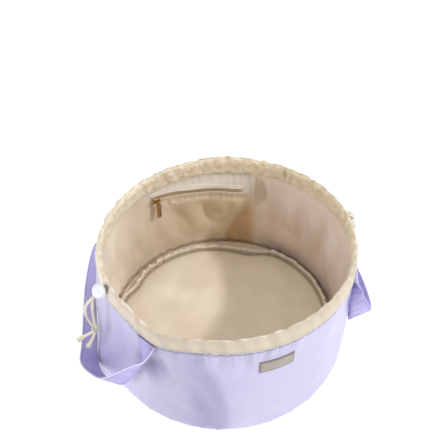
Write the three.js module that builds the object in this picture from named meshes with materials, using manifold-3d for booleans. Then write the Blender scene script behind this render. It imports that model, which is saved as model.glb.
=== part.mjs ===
// Drawstring cosmetic bag, stood open: a round cloth bag with a lining, a padded floor,
// a drawstring tunnel round its mouth, two side straps and a zip pocket in the back of the lining.
// Millimetres, +Z up, origin at the centre of the base. The front faces -Y and the cords leave at -X and +X.
import * as THREE from 'three';
import { mergeVertices } from 'three/addons/utils/BufferGeometryUtils.js';
import Module from 'manifold-3d';

const wasm = await Module();
wasm.setup();

// Driving dimensions in millimetres, and angles in degrees. These are shares instead:
// casingShoulder and casingWaist of casingHeight, toggleTaper of toggleDiameter, floorShoulder of
// floorThickness, liningDraw, footShare and foldFade of the wall's height, footTuck of baseRadius,
// pocketSpread of the zip's angle and pullShoulder of half pullWidth.
const baseRadius = 134;
const mouthRadius = 130;
const mouthHeight = 152;
const outerCloth = 1.2;
const liningCloth = 1.0;
const baseThickness = 1.6;
const floorThickness = 4;
const seamGap = 0.3;

const casingHeight = 20;
const casingThickness = 6;
const casingProud = 0.8;
const casingShoulder = 0.16;
const casingWaist = 0.3;
const hemMargin = 0.6;
const channelLift = 9;
const slitWidth = 13;

const cordDiameter = 3;
const cordClearance = 0.5;
const strandSpacing = 3.8;
const cordRecess = 1.8;
const exitForward = 6;
const toggleClearance = 0.35;
const toggleDiameter = 13;
const toggleLength = 16.5;
const toggleTaper = 0.12;
const knotDiameter = 8.5;

const strapWidth = 24;
const strapThickness = 2;
const strapDrop = 100;

const floorInset = 8;
const floorShoulder = 0.7;
const liningDraw = 0.3;
const bindingHeight = 7;
const bindingThickness = 2;
const bindingLean = 0.7;

const zipLeftAngle = 108;
const zipRightAngle = 56;
const zipDrop = 23;
const zipSlant = 11;
const pocketSlack = 8.5;
const pocketSpread = 0.45;
const pocketReach = 28;
const pocketFade = 14;
const zipTapeWidth = 14;
const zipTapeThickness = 0.8;
const zipCoilWidth = 4.2;
const zipCoilThickness = 1.3;
const sliderLength = 8.5;
const sliderWidth = 7;
const sliderThickness = 2;
const sliderClearance = 0.9;
const bridgeRadius = 0.7;
const bridgeRise = 2.3;
const pullLength = 23;
const pullWidth = 5.8;
const pullThickness = 1.2;
const pullEyeClearance = 0.4;
const pullEyeWall = 0.9;
const pullEyeLap = 0.3;
const pullShoulder = 0.45;

const labelWidth = 36;
const labelHeight = 17;
const labelThickness = 1;
const labelDrop = 39;

const flapWidth = 90;
const flapLength = 104;
const flapThickness = 2.4;
const flapStandOff = 3;
const flapBindingWidth = 5;
const flapBindingProud = 0.4;

const ringSteps = 70;
const discSteps = 44;
const footShare = 0.06;
const footTuck = 0.02;
const foldFade = 0.18;
const channelHeight = 2 * cordDiameter + 3 * cordClearance;
const strapSag = strapWidth ** 2 / (8 * baseRadius);

// Shape of the mouth, by the angle from +X.
// radius and height are shares of mouthRadius and mouthHeight.
const rimRows = [
  { angle: -175, radius: 0.958, height: 1.005 },
  { angle: -157, radius: 0.963, height: 1.02 },
  { angle: -141, radius: 1.0, height: 1.01 },
  { angle: -122, radius: 1.0, height: 1.05 },
  { angle: -90, radius: 1.01, height: 1.07 },
  { angle: -60, radius: 1.01, height: 1.05 },
  { angle: -38, radius: 1.015, height: 1.01 },
  { angle: -5, radius: 1.005, height: 1.005 },
  { angle: 30, radius: 0.99, height: 0.965 },
  { angle: 60, radius: 0.98, height: 0.94 },
  { angle: 90, radius: 0.975, height: 0.93 },
  { angle: 120, radius: 0.97, height: 0.935 },
  { angle: 150, radius: 0.962, height: 0.955 },
];

// Soft dents and swells of the wall. angle and spread are degrees, height and reach are shares
// of the wall's height, and depth is a share of baseRadius, outward where it is positive.
const foldRows = [
  { angle: -141, height: 0.74, spread: 6, reach: 0.13, depth: -0.03 },
  { angle: -39, height: 0.74, spread: 6, reach: 0.13, depth: -0.025 },
  { angle: -109, height: 0.42, spread: 9, reach: 0.45, depth: 0.016 },
  { angle: -124, height: 0.45, spread: 9, reach: 0.4, depth: -0.016 },
  { angle: -163, height: 0.5, spread: 7, reach: 0.45, depth: -0.022 },
  { angle: -175, height: 0.4, spread: 7, reach: 0.4, depth: 0.014 },
  { angle: -72, height: 0.5, spread: 14, reach: 0.4, depth: -0.01 },
  { angle: -12, height: 0.5, spread: 10, reach: 0.4, depth: -0.014 },
  { angle: 22, height: 0.45, spread: 9, reach: 0.35, depth: 0.01 },
  { angle: 48, height: 0.5, spread: 9, reach: 0.4, depth: -0.012 },
  { angle: 118, height: 0.45, spread: 9, reach: 0.4, depth: -0.014 },
  { angle: 146, height: 0.5, spread: 8, reach: 0.35, depth: 0.01 },
];

// Heights at which the walls are shaped, as shares of the wall's height
const wallLevels = [0, 0.07, 0.3, 0.52, 0.76, 1];

// Outline of the bound seam that stands up round the floor. radius is a share of baseRadius.
const floorSeamRows = [
  { angle: -178, radius: 0.89 },
  { angle: -150, radius: 0.905 },
  { angle: -110, radius: 0.89 },
  { angle: -65, radius: 0.9 },
  { angle: -20, radius: 0.895 },
  { angle: 12, radius: 0.912 },
  { angle: 36, radius: 0.9 },
  { angle: 50, radius: 0.83 },
  { angle: 64, radius: 0.836 },
  { angle: 80, radius: 0.856 },
  { angle: 95, radius: 0.871 },
  { angle: 110, radius: 0.878 },
  { angle: 121, radius: 0.875 },
  { angle: 130, radius: 0.856 },
  { angle: 140, radius: 0.893 },
  { angle: 154, radius: 0.903 },
  { angle: 167, radius: 0.883 },
];

// A strap's two edges, from its front end round to its back end. away is the angle from the side
// axis, towards the front where it is positive. stand is how far the edge stands off the wall,
// as a share of strapWidth, and drop how far it hangs below the casing, as a share of strapDrop.
const leftStrapRows = [
  { outAway: 39.5, outStand: 0, outDrop: 0.01, inAway: 29.5, inStand: 0, inDrop: 0.01 },
  { outAway: 37, outStand: 0.58, outDrop: 0.13, inAway: 33, inStand: 0.15, inDrop: 0.29 },
  { outAway: 29.5, outStand: 0.65, outDrop: 0.38, inAway: 29.5, inStand: 0.24, inDrop: 0.58 },
  { outAway: 22.7, outStand: 0.95, outDrop: 0.62, inAway: 26, inStand: 0.36, inDrop: 0.8 },
  { outAway: 17.2, outStand: 1.35, outDrop: 0.78, inAway: 21.5, inStand: 0.65, inDrop: 0.92 },
  { outAway: 11.5, outStand: 1.42, outDrop: 0.83, inAway: 14.5, inStand: 0.75, inDrop: 0.99 },
  { outAway: 5.5, outStand: 1.4, outDrop: 0.84, inAway: 7, inStand: 0.6, inDrop: 1 },
  { outAway: 0, outStand: 1.14, outDrop: 0.8, inAway: 0, inStand: 0.38, inDrop: 0.93 },
  { outAway: -6, outStand: 0.93, outDrop: 0.7, inAway: -6, inStand: 0.24, inDrop: 0.81 },
  { outAway: -12, outStand: 0.64, outDrop: 0.54, inAway: -12, inStand: 0.16, inDrop: 0.68 },
  { outAway: -23, outStand: 0.34, outDrop: 0.29, inAway: -20, inStand: 0.1, inDrop: 0.44 },
  { outAway: -32, outStand: 0.2, outDrop: 0.14, inAway: -26, inStand: 0.08, inDrop: 0.26 },
  { outAway: -39.5, outStand: 0, outDrop: 0.01, inAway: -29.5, inStand: 0, inDrop: 0.01 },
];
const rightStrapRows = [
  { outAway: 39.5, outStand: 0, outDrop: 0.01, inAway: 29.5, inStand: 0, inDrop: 0.01 },
  { outAway: 38, outStand: 0.45, outDrop: 0.18, inAway: 33.5, inStand: 0.08, inDrop: 0.3 },
  { outAway: 34, outStand: 0.72, outDrop: 0.42, inAway: 34.5, inStand: 0.12, inDrop: 0.56 },
  { outAway: 30.5, outStand: 0.98, outDrop: 0.66, inAway: 33, inStand: 0.16, inDrop: 0.79 },
  { outAway: 26, outStand: 1.1, outDrop: 0.83, inAway: 29, inStand: 0.2, inDrop: 0.95 },
  { outAway: 18, outStand: 1.14, outDrop: 0.88, inAway: 20, inStand: 0.22, inDrop: 1 },
  { outAway: 6, outStand: 1.12, outDrop: 0.88, inAway: 7, inStand: 0.22, inDrop: 1 },
  { outAway: -6, outStand: 1.02, outDrop: 0.84, inAway: -6, inStand: 0.18, inDrop: 0.95 },
  { outAway: -17, outStand: 0.88, outDrop: 0.72, inAway: -18, inStand: 0.14, inDrop: 0.84 },
  { outAway: -26, outStand: 0.62, outDrop: 0.5, inAway: -25, inStand: 0.1, inDrop: 0.64 },
  { outAway: -33, outStand: 0.36, outDrop: 0.27, inAway: -29, inStand: 0.08, inDrop: 0.42 },
  { outAway: -37.5, outStand: 0.16, outDrop: 0.12, inAway: -31.5, inStand: 0.05, inDrop: 0.22 },
  { outAway: -39.5, outStand: 0, outDrop: 0.01, inAway: -29.5, inStand: 0, inDrop: 0.01 },
];

// Routes of the four free cord ends, from the slit in the casing down to the knot, in millimetres
const cordRoutes = {
  cord_left_a: [
    [-126.7, -15.2, 143.8], [-128.8, -15.6, 145.2], [-131.2, -16, 146.6], [-134.6, -16.4, 147.2],
    [-138.6, -16.6, 146.4], [-142.6, -16.2, 143.6], [-146.4, -15.2, 139], [-149, -13.6, 132.6],
    [-150.4, -12, 124.6], [-150.2, -11, 115], [-148.8, -10.8, 106], [-145.8, -12, 96],
  ],
  cord_left_b: [
    [-127.1, -11.4, 143.8], [-129.2, -11.7, 145.2], [-131.6, -12.2, 146.6], [-134.8, -12.6, 146.8],
    [-138, -13, 145.4], [-140.8, -13.6, 142], [-142.4, -14.2, 136], [-143.4, -14.8, 128],
    [-144, -15.4, 119], [-144.2, -15.8, 110], [-143.6, -14.8, 96],
  ],
  cord_right_a: [
    [133, -15.9, 147.2], [135.2, -16.3, 147.2], [137.5, -16.9, 145.6], [139, -17.6, 142.6],
    [139.7, -18.2, 138.5], [140, -18.8, 133], [140.4, -19, 126], [141.2, -19, 117],
    [142.2, -18.6, 107.5], [143, -16.9, 96.9],
  ],
  cord_right_b: [
    [133.4, -12.1, 147.2], [135.8, -12.5, 147.2], [138.2, -13.2, 145.6], [139.7, -14, 142.6],
    [140.3, -14.6, 138.5], [140.7, -14.6, 133], [141.7, -14, 126], [143.4, -13, 117],
    [144.8, -12.6, 107.5], [144.9, -14, 96.9],
  ],
};
const toggleSeats = {
  toggle_left: { centre: [-134.2, -14.7, 150], lean: [0.1, -0.25, -1] },
  toggle_right: { centre: [140.2, -16.5, 136.4], lean: [0.05, -1, 0.1] },
};
const knotSeats = {
  knot_left: {
    centre: [-144.6, -13.3, 90.5],
    tails: [
      [[-145, -12.4, 88.6], [-150.4, -10, 82.6], [-155.6, -7, 77], [-160.6, -4.4, 71]],
      [[-145, -14, 88.4], [-148.4, -14.2, 80], [-151.4, -13, 72.4], [-153.6, -11, 65]],
    ],
  },
  knot_right: {
    centre: [144, -15.4, 91.4],
    tails: [
      [[144.4, -14.4, 89.6], [147, -11.8, 81], [149.2, -9.6, 73], [150.8, -8, 66]],
      [[144.4, -16.2, 89.6], [145.6, -18.6, 81], [146.4, -21, 73], [146.8, -23.4, 67]],
    ],
  },
};

const lilac = { color: 0xc9bfe8, roughness: 0.55, metalness: 0 };
const lilacDark = { color: 0xb0a6dc, roughness: 0.6, metalness: 0 };
const beige = { color: 0xd9c5a5, roughness: 0.5, metalness: 0 };
const cream = { color: 0xe2d4b2, roughness: 0.6, metalness: 0 };
const cotton = { color: 0xe6dcc2, roughness: 0.9, metalness: 0 };
const white = { color: 0xe6ecf0, roughness: 0.35, metalness: 0 };
const brass = { color: 0x96703c, roughness: 0.35, metalness: 0.9 };
const taupe = { color: 0xaea69b, roughness: 0.7, metalness: 0 };

const bag = new THREE.Group();

function addMesh(name, geometry, finish, parent = bag) {
  const mesh = new THREE.Mesh(geometry, new THREE.MeshStandardMaterial(finish));
  mesh.name = name;
  parent.add(mesh);
  return mesh;
}

function radians(degrees) {
  return (degrees * Math.PI) / 180;
}

// A smooth closed curve through a table's rows, read at any angle
function rowsAt(rows, column, angle) {
  const turn = ((angle - rows[0].angle) % 360 + 360) % 360;
  const count = rows.length;
  let index = count - 1;
  while (index > 0 && rows[index].angle - rows[0].angle > turn) {
    index -= 1;
  }
  const start = rows[index].angle - rows[0].angle;
  const end = index + 1 < count ? rows[index + 1].angle - rows[0].angle : 360;
  const share = (turn - start) / (end - start);
  const before = rows[(index + count - 1) % count][column];
  const from = rows[index][column];
  const to = rows[(index + 1) % count][column];
  const after = rows[(index + 2) % count][column];
  const slopeIn = (to - before) / 2;
  const slopeOut = (after - from) / 2;
  const square = share * share;
  const cube = square * share;
  return (2 * cube - 3 * square + 1) * from + (cube - 2 * square + share) * slopeIn
    + (3 * square - 2 * cube) * to + (cube - square) * slopeOut;
}

function rimRadius(angle) {
  return mouthRadius * rowsAt(rimRows, 'radius', angle);
}

function rimHeight(angle) {
  return mouthHeight * rowsAt(rimRows, 'height', angle);
}

function seamHeight(angle) {
  return rimHeight(angle) - casingHeight;
}

// Radius of the outer cloth's outer face
function wallRadius(angle, height) {
  const share = height / seamHeight(angle);
  const top = rimRadius(angle) + casingThickness / 2 - casingProud;
  const tuck = Math.max(0, 1 - share / footShare);
  let radius = baseRadius + (top - baseRadius) * share - baseRadius * footTuck * tuck * tuck;
  const fade = Math.max(0, Math.min(1, share / foldFade, (1 - share) / foldFade));
  for (const fold of foldRows) {
    const turn = ((angle - fold.angle + 540) % 360 - 180) / fold.spread;
    const rise = (share - fold.height) / fold.reach;
    radius += baseRadius * fold.depth * Math.exp(-turn * turn - rise * rise) * fade;
  }
  return radius;
}

// Radius of the lining's inner face, which draws in at the floor
function liningRadius(angle, height) {
  const straight = wallRadius(angle, height) - outerCloth - seamGap - liningCloth;
  const share = Math.min(1, height / (seamHeight(angle) * liningDraw));
  const draw = (1 - share) * (1 - share);
  const foot = baseRadius - floorInset + seamGap;
  return straight + (foot - straight) * draw - pocketSlack * pocketShare(angle, height);
}

// How far the pocket pulls the lining inward: 1 in the middle of the zip, 0 away from it
function pocketShare(angle, height) {
  const middle = (zipLeftAngle + zipRightAngle) / 2;
  const turn = (angle - middle) / ((zipLeftAngle - zipRightAngle) * pocketSpread);
  const rise = (height - (seamHeight(90) - zipDrop)) / pocketReach;
  const top = Math.min(1, Math.max(0, (seamHeight(angle) - height) / pocketFade));
  return Math.exp(-turn * turn - rise * rise) * top;
}

function polar(angle, radius, height) {
  return new THREE.Vector3(radius * Math.cos(radians(angle)), radius * Math.sin(radians(angle)), height);
}

// A closed mesh from a grid of points: rows of equal length, each joined to the next.
// closedRows joins the last row to the first, and otherwise both end rows are capped.
function gridSolid(rows, closedRows) {
  const positions = [];
  const indices = [];
  const width = rows[0].length;
  for (const row of rows) {
    for (const point of row) {
      positions.push(point.x, point.y, point.z);
    }
  }
  const spans = closedRows ? rows.length : rows.length - 1;
  for (let i = 0; i < spans; i += 1) {
    const next = (i + 1) % rows.length;
    for (let j = 0; j < width; j += 1) {
      const side = (j + 1) % width;
      const corner = [i * width + j, i * width + side, next * width + side, next * width + j];
      indices.push(corner[0], corner[1], corner[2], corner[0], corner[2], corner[3]);
    }
  }
  if (!closedRows) {
    const last = (rows.length - 1) * width;
    for (let j = 1; j < width - 1; j += 1) {
      indices.push(0, j + 1, j);
      indices.push(last, last + j, last + j + 1);
    }
  }
  const geometry = new THREE.BufferGeometry();
  geometry.setAttribute('position', new THREE.Float32BufferAttribute(positions, 3));
  geometry.setIndex(indices);
  return facingOut(geometry);
}

function signedVolume(geometry) {
  const position = geometry.getAttribute('position');
  const index = geometry.getIndex();
  const a = new THREE.Vector3();
  const b = new THREE.Vector3();
  const c = new THREE.Vector3();
  let volume = 0;
  for (let i = 0; i < index.count; i += 3) {
    a.fromBufferAttribute(position, index.getX(i));
    b.fromBufferAttribute(position, index.getX(i + 1));
    c.fromBufferAttribute(position, index.getX(i + 2));
    volume += a.dot(b.cross(c)) / 6;
  }
  return volume;
}

function facingOut(geometry) {
  if (signedVolume(geometry) < 0) {
    const index = geometry.getIndex();
    for (let i = 0; i < index.count; i += 3) {
      const swap = index.getX(i + 1);
      index.setX(i + 1, index.getX(i + 2));
      index.setX(i + 2, swap);
    }
  }
  geometry.computeVertexNormals();
  return geometry;
}

// A ring whose section is given at each angle as a closed list of [radius, height]
function ringSolid(sectionAt) {
  const rows = [];
  for (let i = 0; i < ringSteps; i += 1) {
    const angle = (360 * i) / ringSteps;
    rows.push(sectionAt(angle).map(([radius, height]) => polar(angle, radius, height)));
  }
  return gridSolid(rows, true);
}

// A curved strip that lies on the wall. heightsAt gives its low and high edge at an angle,
// faceAt the radius of its near face, and rise how far its other face stands off that one.
function curvedStrip(fromAngle, toAngle, steps, heightsAt, faceAt, rise) {
  const rows = [];
  for (let i = 0; i <= steps; i += 1) {
    const angle = fromAngle + ((toAngle - fromAngle) * i) / steps;
    const [low, high] = heightsAt(angle);
    const near = [faceAt(angle, low), faceAt(angle, high)];
    rows.push([
      polar(angle, near[0], low),
      polar(angle, near[1], high),
      polar(angle, near[1] + rise, high),
      polar(angle, near[0] + rise, low),
    ]);
  }
  return gridSolid(rows, false);
}

function plainGeometry(geometry) {
  const bare = geometry.clone();
  bare.deleteAttribute('normal');
  bare.deleteAttribute('uv');
  return mergeVertices(bare, 1e-4);
}

function solidOf(geometry) {
  const plain = plainGeometry(geometry);
  return new wasm.Manifold(new wasm.Mesh({
    numProp: 3,
    vertProperties: new Float32Array(plain.getAttribute('position').array),
    triVerts: new Uint32Array(plain.getIndex().array),
  }));
}

function geometryOf(solid) {
  const mesh = solid.getMesh();
  const geometry = new THREE.BufferGeometry();
  geometry.setAttribute('position', new THREE.BufferAttribute(new Float32Array(mesh.vertProperties), 3));
  geometry.setIndex(new THREE.BufferAttribute(new Uint32Array(mesh.triVerts), 1));
  geometry.computeVertexNormals();
  return geometry;
}

function roundSection(diameter, sides) {
  const points = [];
  for (let i = 0; i < sides; i += 1) {
    const angle = (2 * Math.PI * i) / sides;
    points.push(new THREE.Vector2(Math.cos(angle) * diameter / 2, Math.sin(angle) * diameter / 2));
  }
  return new THREE.Shape(points);
}

// A curve that is read by its points and not by its length, so that a tube along it
// has one section at each point, however unevenly they are spaced
class RouteCurve extends THREE.CatmullRomCurve3 {
  getPointAt(share, target) {
    return this.getPoint(share, target);
  }

  getTangentAt(share, target) {
    return this.getTangent(share, target);
  }
}

function tubeAlong(points, diameter) {
  const extrudePath = new RouteCurve(points, false, 'centripetal');
  return new THREE.ExtrudeGeometry(roundSection(diameter, 8), { steps: points.length - 1, extrudePath });
}

function vector([x, y, z]) {
  return new THREE.Vector3(x, y, z);
}

// Outer shell and base
function outerWall() {
  const foot = baseThickness + seamGap;
  return ringSolid((angle) => {
    const top = seamHeight(angle) - seamGap;
    const heights = wallLevels.map((share) => foot + (top - foot) * share);
    const outside = heights.map((height) => [wallRadius(angle, height), height]);
    const inside = heights.map((height) => [wallRadius(angle, height) - outerCloth, height]);
    return [...outside, ...inside.reverse()];
  });
}

function outerBase() {
  const bevel = baseThickness / 2;
  const edge = baseRadius - bevel * 2;
  const profile = [
    new THREE.Vector2(0, 0),
    new THREE.Vector2(edge - bevel, 0),
    new THREE.Vector2(edge, bevel),
    new THREE.Vector2(edge, baseThickness),
    new THREE.Vector2(0, baseThickness),
  ];
  return new THREE.LatheGeometry(profile, discSteps).rotateX(Math.PI / 2);
}

// Lining and floor
function liningWall() {
  const foot = baseThickness + seamGap;
  return ringSolid((angle) => {
    const top = seamHeight(angle) - seamGap;
    const heights = wallLevels.map((share) => foot + (top - foot) * share);
    const inside = heights.map((height) => [liningRadius(angle, height), height]);
    const outside = heights.map((height) => [liningRadius(angle, height) + liningCloth, height]);
    return [...inside, ...outside.reverse()];
  });
}

function liningFloor() {
  const edge = baseRadius - floorInset;
  const low = baseThickness + seamGap;
  const high = low + floorThickness;
  const profile = [
    new THREE.Vector2(0, low),
    new THREE.Vector2(edge, low),
    new THREE.Vector2(edge, low + floorThickness * floorShoulder),
    new THREE.Vector2(edge - floorThickness, high),
    new THREE.Vector2(0, high),
  ];
  return new THREE.LatheGeometry(profile, discSteps).rotateX(Math.PI / 2);
}

// The bound seam that stands up round the floor, in waves
function floorBinding() {
  const foot = baseThickness + floorThickness + 2 * seamGap;
  const top = foot + bindingHeight;
  return ringSolid((angle) => {
    const outside = baseRadius * rowsAt(floorSeamRows, 'radius', angle);
    const inside = outside - bindingThickness;
    return [[outside, foot], [outside + bindingLean, top], [inside + bindingLean, top], [inside, foot]];
  });
}

// Tunnel for the drawstrings, with a slit at each side
function casing() {
  const half = casingThickness / 2;
  const hem = outerCloth + liningCloth + seamGap + hemMargin;
  const shell = solidOf(ringSolid((angle) => {
    const radius = rimRadius(angle);
    const low = seamHeight(angle);
    const high = rimHeight(angle);
    const shoulder = high - casingHeight * casingShoulder;
    const waist = low + casingHeight * casingWaist;
    return [
      [radius + half, low], [radius + half, waist], [radius + half, shoulder], [radius + half * 0.5, high],
      [radius - half * 0.5, high], [radius - half, shoulder], [radius - half, waist], [radius + half - hem, low],
    ];
  }));
  const channel = solidOf(ringSolid((angle) => {
    const radius = rimRadius(angle);
    const low = seamHeight(angle) + channelLift;
    const outside = radius + cordDiameter / 2 + cordClearance;
    const inside = radius - cordDiameter / 2 - cordClearance;
    return [[outside, low], [outside, low + channelHeight], [inside, low + channelHeight], [inside, low]];
  }));
  let cut = shell.subtract(channel);
  for (const side of [-1, 1]) {
    const angle = exitAngle(side);
    const slit = new THREE.BoxGeometry(casingThickness, slitWidth, channelHeight);
    const centre = polar(angle, rimRadius(angle) + half, seamHeight(angle) + channelLift + channelHeight / 2);
    slit.rotateZ(radians(angle));
    slit.translate(centre.x, centre.y, centre.z);
    cut = cut.subtract(solidOf(slit));
  }
  return geometryOf(cut);
}

function exitAngle(side) {
  return side < 0 ? -180 + exitForward : -exitForward;
}

// Where a drawstring bends from its slit into the tunnel. across is a share of half the spacing
// of the two strands, and out a share of the way from the tunnel's middle to the slit.
const mouthBendRows = [
  { across: 1, out: 1 },
  { across: 1.6, out: 0.4 },
  { across: 3, out: 0 },
  { across: 6, out: 0 },
];

// The stretch of a drawstring that the tunnel holds: once round, with both ends at one slit.
// lane is 0 for the lower cord and 1 for the upper one.
function drawstring(side, lane) {
  const exit = exitAngle(side);
  const lift = channelLift + cordClearance + cordDiameter / 2 + lane * (cordDiameter + cordClearance);
  const place = (across, out) => {
    const angle = exit + (across / mouthRadius) * (180 / Math.PI);
    return polar(angle, rimRadius(angle) + out, seamHeight(angle) + lift);
  };
  const mouth = casingThickness / 2 - cordRecess;
  const bends = mouthBendRows.map((row) => [row.across * strandSpacing / 2, row.out * mouth]);
  const start = bends[bends.length - 1][0];
  const length = 2 * Math.PI * mouthRadius;
  const turns = 44;
  const points = bends.map(([across, out]) => place(across, out));
  for (let i = 1; i < turns; i += 1) {
    points.push(place(start + ((length - 2 * start) * i) / turns, 0));
  }
  points.push(...bends.reverse().map(([across, out]) => place(length - across, out)));
  return tubeAlong(points, cordDiameter);
}

// Straps
function strapAt(rows, place) {
  const spans = rows.length - 1;
  const index = Math.min(spans - 1, Math.floor(place * spans));
  const share = place * spans - index;
  const value = {};
  for (const column of Object.keys(rows[0])) {
    const before = rows[Math.max(0, index - 1)][column];
    const from = rows[index][column];
    const to = rows[index + 1][column];
    const after = rows[Math.min(spans, index + 2)][column];
    const square = share * share;
    const cube = square * share;
    value[column] = (2 * cube - 3 * square + 1) * from + (cube - 2 * square + share) * (to - before) / 2
      + (3 * square - 2 * cube) * to + (cube - square) * (after - from) / 2;
  }
  return value;
}

function strapEdge(side, away, stand, drop) {
  const angle = side < 0 ? -180 + away : -away;
  const height = seamHeight(angle) - seamGap - drop * strapDrop;
  const clear = seamGap + strapSag + strapThickness / 2 + stand * strapWidth;
  return polar(angle, wallRadius(angle, height) + clear, height);
}

function strap(side, rows) {
  const stations = 36;
  const middles = [];
  const edges = [];
  for (let i = 0; i <= stations; i += 1) {
    const row = strapAt(rows, i / stations);
    const outer = strapEdge(side, row.outAway, row.outStand, row.outDrop);
    const inner = strapEdge(side, row.inAway, row.inStand, row.inDrop);
    edges.push([inner, outer]);
    middles.push(inner.clone().add(outer).multiplyScalar(0.5));
  }
  const rings = edges.map(([inner, outer], i) => {
    const travel = middles[Math.min(stations, i + 1)].clone().sub(middles[Math.max(0, i - 1)]);
    const across = outer.clone().sub(inner);
    const half = across.clone().cross(travel).normalize().multiplyScalar(strapThickness / 2);
    return [
      inner.clone().add(half), outer.clone().add(half),
      outer.clone().sub(half), inner.clone().sub(half),
    ];
  });
  return gridSolid(rings, false);
}

// Cord stoppers: an egg that both strands run through. lean is the way its long axis points.
function toggle(seat, routes) {
  const profile = [];
  const rings = 8;
  for (let i = 0; i <= rings; i += 1) {
    const turn = (Math.PI * i) / rings;
    const taper = 1 - toggleTaper * Math.cos(turn);
    profile.push(new THREE.Vector2(
      i === 0 || i === rings ? 0 : Math.sin(turn) * taper * toggleDiameter / 2,
      -Math.cos(turn) * toggleLength / 2,
    ));
  }
  const egg = new THREE.LatheGeometry(profile, 12);
  const up = new THREE.Vector3(0, 1, 0);
  const lean = vector(seat.lean).normalize();
  egg.applyQuaternion(new THREE.Quaternion().setFromUnitVectors(up, lean));
  egg.translate(...seat.centre);
  let body = solidOf(egg);
  for (const route of routes) {
    body = body.subtract(solidOf(tubeAlong(route.map(vector), cordDiameter + 2 * toggleClearance)));
  }
  return geometryOf(body);
}

// A knot in the two strands, with their two cut tails
function knot(seat) {
  const body = new THREE.SphereGeometry(knotDiameter / 2, 12, 8);
  body.scale(1, 1, 1.15);
  body.translate(...seat.centre);
  let joined = solidOf(body);
  for (const tail of seat.tails) {
    joined = joined.add(solidOf(tubeAlong(tail.map(vector), cordDiameter)));
  }
  return geometryOf(joined);
}

// Zip pocket in the back of the lining
function zipHeight(angle) {
  const share = (zipLeftAngle - angle) / (zipLeftAngle - zipRightAngle);
  return seamHeight(90) - zipDrop + zipSlant * (1 - share);
}

// lift is how far the strip stands off the lining, and trim the angle that it stops short by
function zipStrip(width, thickness, lift, trim) {
  const heights = (angle) => [zipHeight(angle) - width / 2, zipHeight(angle) + width / 2];
  const face = (angle, height) => liningRadius(angle, height) - seamGap - lift;
  return curvedStrip(zipRightAngle + trim, zipLeftAngle - trim, 14, heights, face, -thickness);
}

const sliderAngle = zipLeftAngle - 2.5;
const coilLift = zipTapeThickness + seamGap;
const sliderSeat = coilLift + zipCoilThickness + sliderClearance;

// The slider's own frame: x along the zip, y towards the middle of the bag, z up,
// with its origin on the bridge that the pull hangs from
function sliderFrame() {
  const height = zipHeight(sliderAngle);
  const radius = liningRadius(sliderAngle, height) - seamGap - sliderSeat - sliderThickness - bridgeRise;
  const group = new THREE.Group();
  group.position.copy(polar(sliderAngle, radius, height));
  group.rotation.z = radians(sliderAngle + 90);
  return group;
}

function zipSlider() {
  const plate = new THREE.BoxGeometry(sliderLength, sliderThickness, sliderWidth);
  plate.translate(0, -bridgeRise - sliderThickness / 2, 0);
  const postWidth = bridgeRadius * 2;
  const span = pullThickness + 3 * bridgeRadius;
  let solid = solidOf(plate);
  for (const end of [-1, 1]) {
    const post = new THREE.BoxGeometry(postWidth, bridgeRise + bridgeRadius * 1.5, postWidth);
    post.translate(end * span, -bridgeRise / 2 - bridgeRadius * 0.25, 0);
    solid = solid.add(solidOf(post));
  }
  const bar = new THREE.CylinderGeometry(bridgeRadius, bridgeRadius, span * 2, 10);
  bar.rotateZ(Math.PI / 2);
  return geometryOf(solid.add(solidOf(bar)));
}

function zipPull() {
  const eyeInner = bridgeRadius + pullEyeClearance;
  const eyeOuter = eyeInner + pullEyeWall;
  const top = -eyeInner - pullEyeLap;
  const half = pullWidth / 2;
  const outline = new THREE.Shape();
  outline.moveTo(-half * pullShoulder, top);
  outline.lineTo(-half, top - half);
  outline.lineTo(-half, top - pullLength + half);
  outline.absarc(0, top - pullLength + half, half, Math.PI, 2 * Math.PI, false);
  outline.lineTo(half, top - half);
  outline.lineTo(half * pullShoulder, top);
  outline.closePath();
  const tab = new THREE.ExtrudeGeometry(outline, { depth: pullThickness, bevelEnabled: false, curveSegments: 6 });
  tab.translate(0, 0, -pullThickness / 2);
  tab.rotateX(Math.PI / 2);
  const ring = new THREE.Shape();
  ring.absarc(0, 0, eyeOuter, 0, 2 * Math.PI, false);
  const hole = new THREE.Path();
  hole.absarc(0, 0, eyeInner, 0, 2 * Math.PI, true);
  ring.holes.push(hole);
  const eye = new THREE.ExtrudeGeometry(ring, { depth: pullThickness, bevelEnabled: false, curveSegments: 12 });
  eye.translate(0, 0, -pullThickness / 2);
  eye.rotateY(Math.PI / 2);
  return geometryOf(solidOf(tab).add(solidOf(eye)));
}

// Label on the front of the bag
function labelPatch() {
  const middle = rimHeight(-90) - labelDrop - labelHeight / 2;
  const spread = (labelWidth / 2 / baseRadius) * (180 / Math.PI);
  const heights = () => [middle - labelHeight / 2, middle + labelHeight / 2];
  const face = (angle, height) => wallRadius(angle, height) + seamGap;
  return curvedStrip(-90 - spread, -90 + spread, 6, heights, face, labelThickness);
}

// The flap hangs down the back. Its sides are straight, and its free end is round.
const flapStraight = flapLength - flapWidth / 2;

function flapFace(angle, height) {
  const hang = Math.max(0, (seamHeight(90) - height) / flapLength);
  return wallRadius(angle, height) + seamGap + flapStandOff * hang;
}

// Angle of a point that lies across millimetres from the flap's middle line
function flapAngle(across) {
  return 90 + (across / baseRadius) * (180 / Math.PI);
}

function flapPoint(across, down, lift) {
  const angle = flapAngle(across);
  const height = seamHeight(angle) - seamGap - down;
  return polar(angle, flapFace(angle, height) + lift, height);
}

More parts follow.
